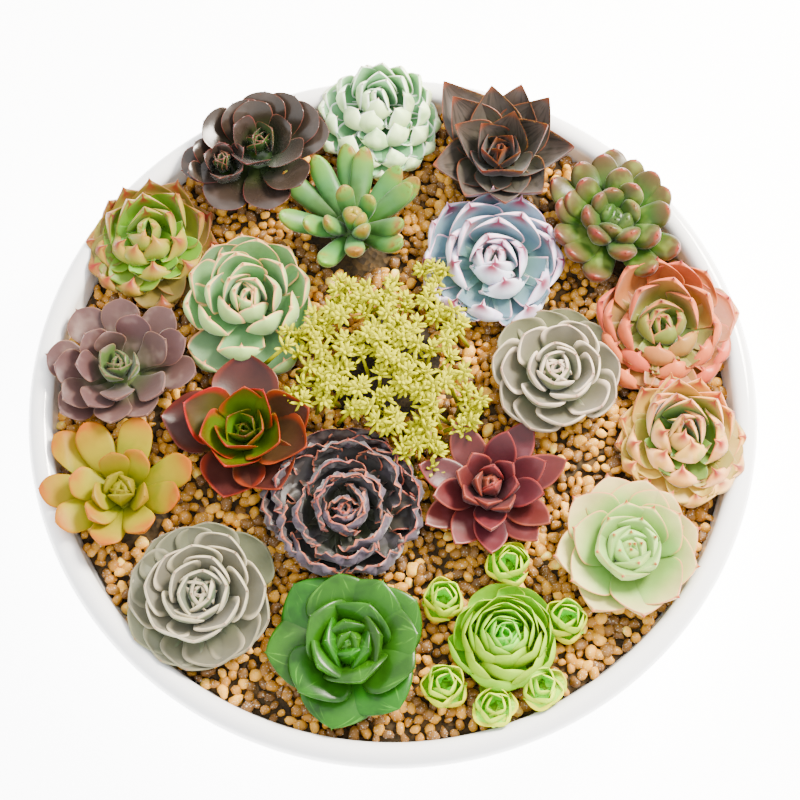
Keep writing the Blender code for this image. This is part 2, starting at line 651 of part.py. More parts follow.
def side_head(plant, cells):
    """The small head beside the brown plant's heart, on a short branch of the same stem."""
    head = dict(plant, heart=(-74, 105), room=8, heights=(24, 24, 19), widths=(6, 9), thick=2.0, outline=BUD)
    rings = ((10, (268, 350, 70, 170)),)
    shapes = [leaf(head, cells, "brown", a, reach, 10) for reach, azimuths in rings for a in azimuths]
    foot = Vector((plant["heart"][0] - 2, plant["heart"][1] - 2, GRAVEL_LEVEL + 5))
    top = Vector((head["heart"][0], head["heart"][1], GRAVEL_LEVEL + 15))
    shapes.append(rod(foot, top, 2.2, 2.6, 5))
    return shapes


def rod(start, end, start_radius, end_radius, sides):
    """A straight tapered rod between two points."""
    along = (end - start).normalized()
    side = along.orthogonal().normalized()
    other = along.cross(side)
    points = []
    for place, radius in ((start, start_radius), (end, end_radius)):
        for index in range(sides):
            turn = 2 * math.pi * index / sides
            points.append(place + (side * math.cos(turn) + other * math.sin(turn)) * radius)
    faces = [(i, (i + 1) % sides, sides + (i + 1) % sides, sides + i) for i in range(sides)]
    faces += [tuple(range(sides))[::-1], tuple(range(sides, 2 * sides))]
    return points, faces


def star(heart, lean, turn):
    """The head of a sprig: needles that spread from one point, as one closed shape."""
    axis = (Vector((0, 0, 1)) + lean).normalized()
    side = axis.orthogonal().normalized()
    other = axis.cross(side)
    points = [heart + axis * 3.2, heart - axis * 1.6]
    for index in range(2 * SEDUM_NEEDLES):
        angle = turn + math.pi * index / SEDUM_NEEDLES
        out = side * math.cos(angle) + other * math.sin(angle)
        reach, rise = (1.3, 0.2) if index % 2 else (SEDUM_NEEDLE, 2.6)
        points.append(heart + out * reach + axis * rise)
    ring = [2 + i for i in range(2 * SEDUM_NEEDLES)]
    faces = [(0, a, b) for a, b in zip(ring, ring[1:] + ring[:1])]
    faces += [(1, b, a) for a, b in zip(ring, ring[1:] + ring[:1])]
    return points, faces


def make_sedum(cells):
    """Yellow sprigs that stand out of one low crown, each a thin stem with a star of needles."""
    piece = core("sedum", SEDUM_MIDDLE, SEDUM_CROWN_HEIGHT, SEDUM_CROWN_RADIUS)
    widest = SEDUM_SPRIGS[-1][0]
    middle = Vector(SEDUM_MIDDLE)
    shapes = []
    for reach, azimuths in SEDUM_SPRIGS:
        for azimuth in azimuths:
            angle = math.radians(azimuth)
            out = Vector((math.cos(angle), math.sin(angle)))
            height = GRAVEL_LEVEL + between(22, 11, (reach / widest) ** 1.5)
            free = min(reach, cells.room("sedum", SEDUM_MIDDLE, out, height) - 4)
            head = Vector((*(middle + out * free), height))
            foot = Vector((*(middle + out * min(free * 0.75, SEDUM_CROWN_RADIUS * 0.8)), GRAVEL_LEVEL + 5))
            shapes.append(rod(foot, head, 1.1, 0.9, 3))
            shapes.append(star(head, Vector((out.x, out.y, 0)) * 0.5 * reach / widest, angle))
    fuse(piece, [([cells.clear("sedum", p) for p in points], faces) for points, faces in shapes])
    return finish(piece, SEDUM_COLOUR, 0.5)


def make_offset(index, heart, radius, cells):
    """A small rosebud: two rings of rounded leaves round a bud."""
    name = "offset_%d" % index
    plant = dict(
        heart=heart, room=radius, heights=(13, 13, 8), widths=(6, 9.5), thick=1.5, outline=BUD, bow=0.28,
        cup=0.3, colour="a5d84a")
    piece = core(name, heart, 13, 3.4)
    start = 40 * index
    tips = [(start + 90 * i, radius) for i in range(4)]
    tips += [(start + 45 + 120 * i, radius * 0.55) for i in range(3)]
    fuse(piece, [leaf(plant, cells, name, azimuth, reach, radius) for azimuth, reach in tips])
    return finish(piece, plant["colour"], 0.45)


def stem_places():
    places = [root_place(plant["heart"]) for plant in PLANTS.values()]
    places += [root_place(place) for place, _ in OFFSETS]
    places.append(root_place(SEDUM_MIDDLE))
    return [(p.x, p.y) for p in places]


def main():
    clear_scene()
    make_bowl()
    stem_cutters(stem_places())
    make_soil()
    make_gravel()
    cells = Cells()
    for name, plant in PLANTS.items():
        make_plant(name, plant, cells)
    make_sedum(cells)
    for index, (place, radius) in enumerate(OFFSETS, 1):
        make_offset(index, place, radius, cells)


main()
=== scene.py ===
"""Looks of the succulent dish garden: a white glazed bowl of small succulents in tan pebbles.

Sizes are in millimetres and are turned to metres where a mesh is made. The frame is the CAD model's:
the origin is the middle of the bowl's foot, +Z is up and -Y is the side that the photograph is taken from.
"""
import math

import bpy
import numpy as np
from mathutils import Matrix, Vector


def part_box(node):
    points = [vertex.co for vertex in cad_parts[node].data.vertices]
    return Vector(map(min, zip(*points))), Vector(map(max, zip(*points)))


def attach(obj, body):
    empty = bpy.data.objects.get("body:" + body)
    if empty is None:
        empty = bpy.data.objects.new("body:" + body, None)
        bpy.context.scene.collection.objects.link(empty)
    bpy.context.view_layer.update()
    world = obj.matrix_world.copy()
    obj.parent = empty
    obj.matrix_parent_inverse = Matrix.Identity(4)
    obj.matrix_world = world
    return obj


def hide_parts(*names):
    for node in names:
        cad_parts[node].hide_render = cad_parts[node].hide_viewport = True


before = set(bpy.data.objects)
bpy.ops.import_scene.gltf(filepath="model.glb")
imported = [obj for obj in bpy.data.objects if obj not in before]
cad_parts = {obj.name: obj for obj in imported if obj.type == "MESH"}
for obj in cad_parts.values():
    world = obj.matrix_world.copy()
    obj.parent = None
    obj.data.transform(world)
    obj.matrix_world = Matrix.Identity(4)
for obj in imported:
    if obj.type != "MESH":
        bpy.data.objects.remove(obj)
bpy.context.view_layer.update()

MM = 0.001

# Turn in degrees from one leaf or needle to the next, where they grow in a spiral
GOLDEN_ANGLE = 137.508

# Bowl: its reach and height are the CAD model's, then the foot ring, the wall, and how finely each is made
RIM_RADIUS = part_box("bowl")[1].x / MM
RIM_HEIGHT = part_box("bowl")[1].z / MM
RIM_ROUND = 5.0
FOOT_RADIUS = 84.0
FOOT_WIDTH = 8.0
FOOT_RECESS = 4.0
FOOT_EDGE = (1.0, 0.6)
FOOT_COVE = 2.0
FOOT_SPREAD = (1.5, 5.0)
WALL = 8.5
WALL_CURVE = 0.62
WALL_DROP = 4.0
FLOOR_TOP = 14.0
OUTER_WALL = (12, 58)
INNER_WALL_TOP = 66
RIM_RINGS = 17
OUTER_RINGS = 18
INNER_RINGS = 24
BOWL_AROUND = 180

# Filling: soil in the bowl with small waves on it (spans of their pitch, heading and phase), a bare mound
# under the sedum that turns to grit round its edge, and pebbles over the rest
GRAVEL_LEVEL = 64.0
SOIL_TOP = GRAVEL_LEVEL - 2.1
SOIL_CLEAR = 0.4
SOIL_FLOOR_RADIUS = 76.0
SOIL_SIDE_FROM = 18
SOIL_SIDE_RINGS = 16
SOIL_TOP_EDGE = 2.5
SOIL_TOP_MIDDLE = 1.5
SOIL_TOP_RINGS = 92
SOIL_AROUND = 200
SOIL_WAVES = 14
SOIL_WAVE_HEIGHT = 0.22
SOIL_WAVE_SPANS = ((0.15, 0.9), (0, 2 * math.pi), (0, 6))
MOUND_TOP = GRAVEL_LEVEL + 0.6
MOUND_RADIUS = 22.0
MOUND_EDGE = 5
MOUND_TO_GRIT = (4, 10)
PEBBLED_RADIUS = 138.0
PEBBLED_AROUND = 96
PEBBLE_SPACING = 3.2
PEBBLE_SIZES = (1.9, 3.0)
PEBBLE_MIDDLE = GRAVEL_LEVEL - 0.4
PEBBLE_RISE = (-1.3, 0.9)
PEBBLE_DENT = 0.9
PEBBLE_TURNS = ((-0.5, -0.5, 0), (0.5, 0.5, 6.28))
PEBBLE_SHAPES = ((0.95, 0.7, 0.6), (1.25, 1.0, 0.9))
HEART_SHADE = 18.0

# Stems and crowns that the leaves grow from: a stem in the soil, then a low cone that narrows to the heart
STEM_FOOT = 49.0
STEM_RADIUS = 2.4
STEM_RING = 124.0
STEM_RISE = 2
CROWN_RISE = (4, 6)
CROWN_LEAN = 0.7
CROWN_SHARE = 0.26
CROWN_NECK = (0.5, 0.6)
CROWN_TOP = 0.68
CROWN_TIP = 1.0

# Leaf mesh: points round a section, sections along the body and along the small tip point, and the steps
# that its path is measured in
AROUND = 24
BODY_RINGS = 16
POINT_RINGS = 3
PATH_STEPS = 41

# Where leaves may lie: over the gravel, over the rim further out, and within the rim's outline; then how
# much a leaf that the rim cuts short rises, and how softly a leaf is laid down
GRAVEL_REST = GRAVEL_LEVEL + 1.6
RIM_REST_FROM = 126.0
RIM_REST_RUN = 10.0
RIM_CLEAR = 0.4
OUTER_LIMIT = 149.4
TIP_LIMIT = 148.0
RAISE = 0.4
SOFT = 1.5

# Leaf roots: how far out and how high they sit on the crown
ROOT_OUT = (0.3, 4.0)
ROOT_RISE = 0.6
ROOT_FALL = 0.8
LOWEST_ROOT = 4.8

# Leaf path: pull of its handles, how far front tips nod, and how a belly stands out under the tip
HANDLE = 0.38
FRONT_FALL = 0.8
BELLY_REACH = (0.85, 1.06)
BELLY_FACING = (0.1, 1.0)
BELLY_LEAST = 4.5
BELLY_MOST = 7.5
BELLY_SHARE = 0.74
BELLY_SINK = 3.0
BELLY_LEVEL = 0.45

# Leaf section: how the width grows outward and its most for a length, the small tip point's width and
# taper, the share of the depth over the edge, then the waves along the edge and round the end
WIDENING = 0.55
WIDEST = 1.35
POINT_WIDTH = 0.5
POINT_TAPER = 1.4
UPPER_SHARE = 0.35
WAVES = 3.5
WAVE_AGE = (0.4, 1.0)
WAVE_LAG = 1.4
END_WAVES = 1.6
END_WAVES_FROM = 4
END_WAVES_CLEAR = 0.05

# How much leaves differ from each other, in degrees
TIP_SPREAD = 4
ROLL_SPREAD = 7
TWIST_SPREAD = 10

# Smallest leaves that close a plant's heart
BUD_REACH = 1.6
BUD_LEAVES = 3
BUD_TURN = 60

# Leaf outlines: how round the end is (2 is round, 1 is sharp), then width along the leaf
OUTLINES = {
    "spoon": (2.0, ((0, 0.34), (0.25, 0.42), (0.5, 0.72), (0.72, 1.0), (0.88, 0.86), (1, 0))),
    "blunt": (2.0, ((0, 0.5), (0.25, 0.72), (0.5, 0.94), (0.68, 1.0), (0.86, 0.88), (1, 0))),
    "petal": (2.8, ((0, 0.55), (0.25, 0.82), (0.55, 1.0), (0.8, 0.97), (0.93, 0.78), (1, 0))),
    "lotus": (2.5, ((0, 0.45), (0.25, 0.68), (0.5, 0.9), (0.72, 1.0), (0.89, 0.84), (1, 0))),
    "broad": (1.8, ((0, 0.5), (0.25, 0.76), (0.5, 0.98), (0.66, 1.0), (0.85, 0.72), (1, 0))),
    "ovate": (1.5, ((0, 0.55), (0.25, 0.8), (0.5, 1.0), (0.7, 0.9), (0.88, 0.54), (1, 0))),
    "pointed": (1.15, ((0, 0.62), (0.2, 0.84), (0.42, 1.0), (0.62, 0.84), (0.82, 0.46), (1, 0))),
    "finger": (2.2, ((0, 0.6), (0.25, 0.82), (0.6, 1.0), (0.8, 0.95), (0.92, 0.66), (1, 0))),
}

# Depth along every leaf, in the same form
DEPTH = (2.0, ((0, 0.8), (0.35, 1.0), (0.7, 0.86), (0.9, 0.55), (1, 0)))

# Each plant: where its heart is, how high its leaf tips are over the gravel (heart, middle, edge), and how
# wide and how deep its leaves are (heart, edge). A domed plant has a belly, how far its leaves stand out
# under their tips, and a nod, how far the front ones bow. An open one has the leaves' angles over the level
# at root and tip (heart, edge). Then how far the edges rise (cup), how sharp the back is (keel), the length
# of the tip point, how sharp the edge is (margin) and how far it waves. The rings give the leaf tips:
# distance from the heart, then azimuths.
PLANTS = {
    "brown": dict(
        heart=(-57.5, 114), heights=(20, 23, 14), widths=(10, 21), depths=(1.6, 2.4), outline="blunt",
        root_rise=(60, 12), tip_rise=(70, 10), cup=(0.4, 0.16), keel=0.2, point=0.8, margin=0.8,
        rings=((36, 200, 238), (33, 279), (31, 85, 9, 160, 126), (29, 29, 310), (26, 54), (21, 332),
               (18, 106), (15, 252, 20), (12, 155), (7, 34), (3, 167, 300))),
    "globe": dict(
        heart=(-6, 134), heights=(24, 26, 14), widths=(12, 19), depths=(3, 4.5), outline="ovate", belly=1.0,
        nod=0.9, cup=(0.5, 0.36), keel=0.5, point=1.2, margin=0.6,
        rings=((27, 80, 272, 243), (25, 300, 322, 218), (24, 181, 166, 345), (21, 110, 15, 36),
               (20, 58, 285, 258), (19, 200, 150), (18, 322, 233), (17, 85, 350), (15, 170, 120),
               (12, 300, 265, 40), (10, 212, 0), (9, 90), (8, 150, 320), (6, 60, 250), (4, 180))),
    "dark": dict(
        heart=(46, 109), heights=(21, 28, 20), widths=(12, 27), depths=(2.0, 3.0), outline="pointed",
        root_rise=(60, 20), tip_rise=(80, 52), cup=(0.55, 0.5), keel=0.9, point=0, margin=0.85,
        rings=((41, 126), (38, 72), (31, 200, 356), (30, 133, 46, 238), (29, 305, 272), (27, 98),
               (21, 160, 20), (17, 300, 240), (15, 68), (12, 135), (9, 200, 330), (6, 40), (4, 120))),
    "finger": dict(
        heart=(-17, 77), heights=(24, 26, 14), widths=(6, 10), depths=(6, 8.5), outline="finger",
        root_rise=(70, 8), tip_rise=(75, 42), cup=(0, 0), keel=0.1, point=0.5, margin=0.5,
        rings=((39, 141), (38, 95), (35, 119, 82), (34, 34), (31, 178, 50), (29, 30), (26, 241), (25, 325),
               (22, 345), (21, 194), (19, 274), (12, 110, 205), (10, 38, 300), (5, 321))),
    "chunky": dict(
        heart=(94, 78), heights=(18, 25, 14), widths=(9, 13), depths=(7.5, 9.5), outline="finger",
        root_rise=(80, 25), tip_rise=(88, 58), cup=(0.0, 0.0), keel=0.2, point=0.9, margin=0.5,
        rings=((35, 88), (32, 70, 28, 145), (30, 98, 330, 250), (29, 120, 300), (27, 48, 222, 200),
               (25, 170), (22, 3, 160), (20, 82, 135, 278, 325), (14, 229, 55), (13, 185), (12, 298),
               (10, 136, 100), (8, 20, 250), (5, 330), (4, 150))),
    "blue": dict(
        heart=(42.5, 60), heights=(23, 26, 19), widths=(17, 27), depths=(2.6, 4.0), outline="lotus",
        belly=1.0, nod=1.0, cup=(0.5, 0.34), keel=0.4, point=3.0, margin=0.7,
        rings=((32, 90, 128), (31, 147), (30, 66), (27, 31), (26, 180, 0), (25, 115, 205), (24, 18),
               (22, 228, 303), (21, 56), (19, 331), (18, 155, 256), (17, 129), (14, 83, 192), (9, 289, 10),
               (7, 115), (5, 52, 170), (3, 260))),
    "agave": dict(
        heart=(-103, 72), heights=(23, 25, 15), widths=(14, 25), depths=(2.2, 3.6), outline="ovate",
        belly=1.0, nod=1.0, cup=(0.5, 0.38), keel=0.5, point=3.0, margin=0.75,
        rings=((28, 24, 67), (26, 355, 313), (25, 141, 282), (24, 92), (23, 121, 186, 212), (22, 23, 229),
               (19, 54, 252), (18, 199, 320), (17, 157), (14, 127, 100), (12, 279), (10, 338, 209), (9, 34),
               (7, 99, 240), (4, 300))),
    "pink_edge": dict(
        heart=(-60, 42), heights=(20, 24, 12), widths=(10, 23), depths=(2.2, 3.4), outline="lotus",
        belly=0.6, nod=0.4, cup=(0.5, 0.34), keel=0.4, point=2.0, margin=0.7,
        rings=((32, 98), (31, 123, 236), (29, 56, 300), (27, 156, 84), (25, 19, 340, 186), (21, 264, 124),
               (18, 214, 341, 43, 107), (16, 170), (12, 303, 100), (11, 12), (9, 219, 145), (6, 60),
               (5, 290, 170), (3, 30))),
    "coral": dict(
        heart=(112, 31), heights=(18, 24, 15), widths=(13, 25), depths=(2.8, 4.4), outline="lotus",
        belly=1.0, nod=0.9, cup=(0.45, 0.36), keel=0.5, point=2.4, margin=0.65,
        rings=((33, 10), (31, 23, 50), (28, 93, 72, 120), (26, 160), (24, 334), (23, 310, 233),
               (21, 31, 174, 275), (20, 358, 205), (17, 76, 325), (15, 130, 232, 285), (13, 35, 190),
               (9, 258), (8, 310), (7, 100), (5, 186, 5), (4, 131))),
    "lotus_right": dict(
        heart=(67, 9), heights=(21, 22, 9), widths=(10, 23), depths=(3.4, 4.8), outline="lotus",
        root_rise=(60, 8), tip_rise=(85, 50), cup=(0.5, 0.28), keel=0.2, point=0.9, margin=0.4,
        rings=((32, 79), (30, 126, 100, 41), (27, 165, 11, 215, 245, 335), (24, 56, 319, 275), (23, 179),
               (20, 132, 75), (18, 242, 15), (15, 347, 300), (12, 190), (10, 95), (9, 32), (8, 255),
               (6, 134), (4, 343, 220), (2, 81))),
    "mauve": dict(
        heart=(-112, 11), heights=(22, 23, 13), widths=(8, 17), depths=(2.6, 4.2), outline="spoon",
        root_rise=(55, 12), tip_rise=(80, 32), cup=(0.35, 0.24), keel=0.5, point=1.2, margin=0.65,
        rings=((34, 54, 127), (32, 93, 169, 356), (31, 221), (30, 25), (27, 215, 180), (26, 266, 300),
               (23, 73, 327), (22, 28, 240), (19, 139), (17, 185, 272), (14, 112), (9, 347), (8, 238, 150),
               (4, 40, 290))),
    "peach": dict(
        heart=(118, -16), heights=(22, 26, 13), widths=(14, 23), depths=(2.8, 4.2), outline="ovate",
        belly=1.0, nod=0.9, cup=(0.5, 0.36), keel=0.5, point=2.4, margin=0.65,
        rings=((26, 98, 164, 187), (25, 130), (24, 70), (23, 280, 235, 325), (22, 45, 355, 212, 303),
               (20, 95, 20), (18, 196, 305), (16, 40, 130), (14, 144, 265), (12, 108, 335), (11, 1, 230),
               (9, 80), (7, 197), (5, 285, 23), (3, 110))),
    "red_green": dict(
        heart=(-60.5, -15), heights=(14, 23, 12), widths=(10, 28), depths=(1.6, 2.4), outline="ovate",
        root_rise=(50, 12), tip_rise=(80, 45), cup=(0.5, 0.36), keel=0.4, point=0.8, margin=0.8,
        rings=((35, 170), (34, 91), (31, 257, 300), (28, 15, 340), (26, 160), (20, 252), (18, 200, 330),
               (16, 59), (15, 88), (12, 240), (9, 340), (7, 155), (5, 43, 280))),
    "ruby": dict(
        heart=(39, -39), heights=(19, 23, 11), widths=(8, 15), depths=(4.0, 5.6), outline="ovate",
        root_rise=(50, 6), tip_rise=(80, 42), cup=(0.3, 0.3), keel=0.8, point=1.0, margin=0.6,
        rings=((34, 20, 58), (31, 212), (30, 164, 308, 117), (29, 240, 325, 270), (24, 20, 195),
               (22, 71, 345), (21, 269), (14, 168, 300), (13, 125, 215), (11, 348, 261, 36), (6, 80, 180),
               (3, 300))),
    "ruffled": dict(
        heart=(-19, -49), heights=(15, 21, 10), widths=(14, 30), depths=(1.1, 1.6), outline="petal",
        belly=0.1, cup=(0.5, 0.36), keel=0.2, point=1.2, margin=0.85, wave=3.4,
        rings=((37, 106, 75), (33, 60, 179), (32, 126, 38), (31, 156, 17), (29, 343, 88), (27, 207, 300),
               (26, 40, 240), (21, 274), (19, 107, 190), (17, 311), (16, 30), (14, 63), (13, 117),
               (11, 165), (8, 229, 340), (7, 10), (4, 100, 280))),
    "yellow": dict(
        heart=(-108, -42), heights=(20, 21, 12), widths=(9, 15), depths=(5, 7), outline="blunt",
        root_rise=(55, 12), tip_rise=(80, 30), cup=(0.16, 0.14), keel=0.7, point=0.7, margin=0.6,
        rings=((39, 140), (34, 121, 178), (32, 81), (30, 24), (29, 208), (24, 351, 254), (21, 169, 300),
               (17, 227, 64), (15, 107), (11, 339, 200), (6, 140), (4, 45, 270))),
    "pale_large": dict(
        heart=(94, -66), heights=(21, 22, 11), widths=(11, 25), depths=(5.4, 5.0), outline="broad",
        root_rise=(50, 10), tip_rise=(70, 34), cup=(0.3, 0.28), keel=0.5, point=2.2, margin=0.65,
        rings=((34, 103), (32, 134, 75), (31, 53, 184), (30, 237, 18), (28, 278, 345, 208), (27, 312),
               (25, 160, 35), (19, 60, 95), (15, 130, 190), (14, 250), (12, 318, 70), (10, 20), (9, 150),
               (8, 285), (6, 95, 200), (4, 16))),
    "lotus_left": dict(
        heart=(-75, -84), heights=(20, 22, 9), widths=(11, 26), depths=(3.2, 4.8), outline="lotus",
        root_rise=(60, 8), tip_rise=(85, 50), cup=(0.5, 0.26), keel=0.2, point=1.1, margin=0.4,
        rings=((33, 42), (31, 133, 214, 88), (30, 261, 240, 160, 110), (29, 313, 285, 340, 186),
               (26, 7, 66), (22, 173, 220), (21, 49), (20, 266, 135), (19, 101, 0), (17, 309),
               (14, 227, 70), (12, 144), (11, 9, 270), (8, 80, 190), (5, 320), (3, 60, 200))),
    "haworthia": dict(
        heart=(-17, -104), heights=(19, 24, 11), widths=(16, 31), depths=(7.0, 9.0), outline="ovate",
        root_rise=(60, 14), tip_rise=(60, 16), cup=(0.2, 0.06), keel=0.7, point=0.9, margin=0.6,
        rings=((34, 131), (33, 35, 184, 259), (32, 309), (29, 98, 62), (28, 8, 340), (27, 225), (18, 146),
               (17, 289, 60), (15, 220), (13, 10), (9, 339, 180), (8, 100), (6, 281), (4, 17, 140))),
    "green_rose": dict(
        heart=(44, -100), heights=(17, 19, 9), widths=(9, 23), depths=(0.9, 1.3), outline="petal",
        belly=0.4, cup=(0.6, 0.34), keel=0.0, point=0, margin=0.8,
        rings=((22, 102, 60), (20, 156, 210), (19, 25, 330), (18, 55, 257, 300), (17, 130),
               (16, 308, 221, 180), (15, 101, 0), (14, 167, 45, 265), (12, 325, 140, 90), (11, 220, 20),
               (9, 280, 70, 170), (7, 340, 120, 230), (5, 60, 190, 300), (4, 0, 120))),
}

# The small head at the left of the brown plant, on the same stem
SIDE_HEAD = dict(
    PLANTS["brown"], heart=(-73, 104), heights=(23, 22, 18), widths=(7, 11), cup=(0.4, 0.25),
    rings=((16, 141, 200), (11, 329, 30), (10, 268), (8, 168, 100), (7, 79), (3, 220, 20)))

# The small rosebuds round the green rose: place of the heart and radius, and how their leaves are made
OFFSETS = (
    ((46.6, -70), 9.5), ((20, -84), 9.0), ((68, -92), 9.0), ((20, -118), 9.5), ((39, -127), 9.0),
    ((58, -119), 9.5),
)
OFFSET = dict(
    heights=(11, 15, 9), widths=(6, 13), depths=(0.9, 1.2), outline="petal", belly=0.1, cup=(1.0, 0.7),
    keel=0.0, point=0, margin=0.8)
OFFSET_LEAVES = 10
OFFSET_CROWN = 3.0
OFFSET_TURN = 40

# Yellow sedum: distance of the sprig heads from the middle and their azimuths, how high they stand and lean
# (middle, edge), where the side sprigs grow round each, then the needles, how far up the clump they are
# shaded, and the stalk that each sprig stands on
SEDUM_MIDDLE = (-3.0, 15.5)
SEDUM_SPRIGS = (
    (4, 291, 120), (9, 141, 30), (13, 39, 315), (15, 90), (16, 296, 185), (21, 237), (23, 101, 142),
    (24, 320, 206), (25, 9, 253), (27, 54, 85, 213, 179), (28, 310), (32, 279, 34), (33, 115, 161, 343),
    (35, 127), (36, 300), (38, 210), (40, 174), (41, 286), (44, 332), (45, 65), (46, 299, 322))
SPRIG_HEIGHTS = (27, 17)
SPRIG_FALL = 1.5
SPRIG_LEAN = 0.15
SPRIG_LEAN_OUT = 0.75
SIDE_SPRIGS = 3
SIDE_INNER = 0.6
SIDE_INNER_TURN = 2.1
SIDE_OUTER_TURN = 2.2
SIDE_TURN_SPREAD = 1.2
SIDE_AWAY = (4.5, 7.5)
SIDE_LOWER = (1.5, 5)
SIDE_LEAN = 0.5
SPRIG_NEEDLES = 13
SPRIG_LENGTH = 3.6
NEEDLE_RADIUS = 0.95
NEEDLE_LENGTH = 3.2
NEEDLE_LEAN = (1.5, 0.5)
NEEDLE_SHADE = (2, 16)
STALK = 16.0
STALK_RADII = (0.7, 0.9)

# Film curve: what the colours of the skins are worked out for
FILM_MIDDLE = 0.22
FILM_SLOPE = 1.25
FILM_MIXING = 0.12
WARM_RED = 0.08
WARM_GREEN = 0.1
LIGHT = 3.8

# Studio: white paper that glows like a lit table, an even room, and one soft window
PAPER_RADIUS = 1500
PAPER_AROUND = 64
PAPER_GLOW = 8.0
ROOM_LIGHT = 2.65
WINDOW_PLACE = (420, 330, 560)
WINDOW_AIM = (0, 0, 70)
WINDOW_SIZE = 260
WINDOW_POWER = 25.0
CAMERA_PLACE = (2.94, -232.6, 714.7)
CAMERA_AIM = (2.94, -1.89, 75.0)
CAMERA_LENS = 74.69
CAMERA_SENSOR = 36.0
CAMERA_NEAR = 0.01

# Marks that each leaf carries for its skin: along (0 at the root, 1 at the tip), across (0 in the middle,
# 1 at the edge), side (0 on the lower face, 1 on the upper), age (0 at the heart, 1 at the outermost
# leaves), a number of its own, and the millimetres to its edge and tip. Then what a stem has for them.
LEAF_MARKS = ("along", "across", "side", "age", "mark", "margin_mm", "tip_mm")
NO_MARK = {"margin_mm": 50.0, "tip_mm": 50.0}

# Where the three colours lie along a leaf, then its fine streaks: how many lie across and along it, and
# how far its own number and its face move them
RAMP_PLACES = (0.15, 0.6, 0.95)
STREAKS = (14.0, 2.2, 1.0)
STREAK_SHIFT = (40.0, 40.0, 5.0)

# Patterns, by how many lie in a metre: on leaves clouds of 9 mm and pores of 1.4 mm, drawn coarser than real
# ones so that they show; clouds of 56 mm in the glaze; soil crumbs of 2.2 mm; on stones dents of 3.8 mm,
# clouds of 3.3 mm and quartz grains of 0.7 mm; shades of 11 mm through the sedum
CLOUDS_PER_M = 110.0
SPECKS_PER_M = 700.0
GLAZE_CLOUDS_PER_M = 18.0
CRUMBS_PER_M = 450.0
DENTS_PER_M = 260.0
STONE_CLOUDS_PER_M = 300.0
GRAINS_PER_M = 1500.0
SEDUM_SHADES_PER_M = 90.0

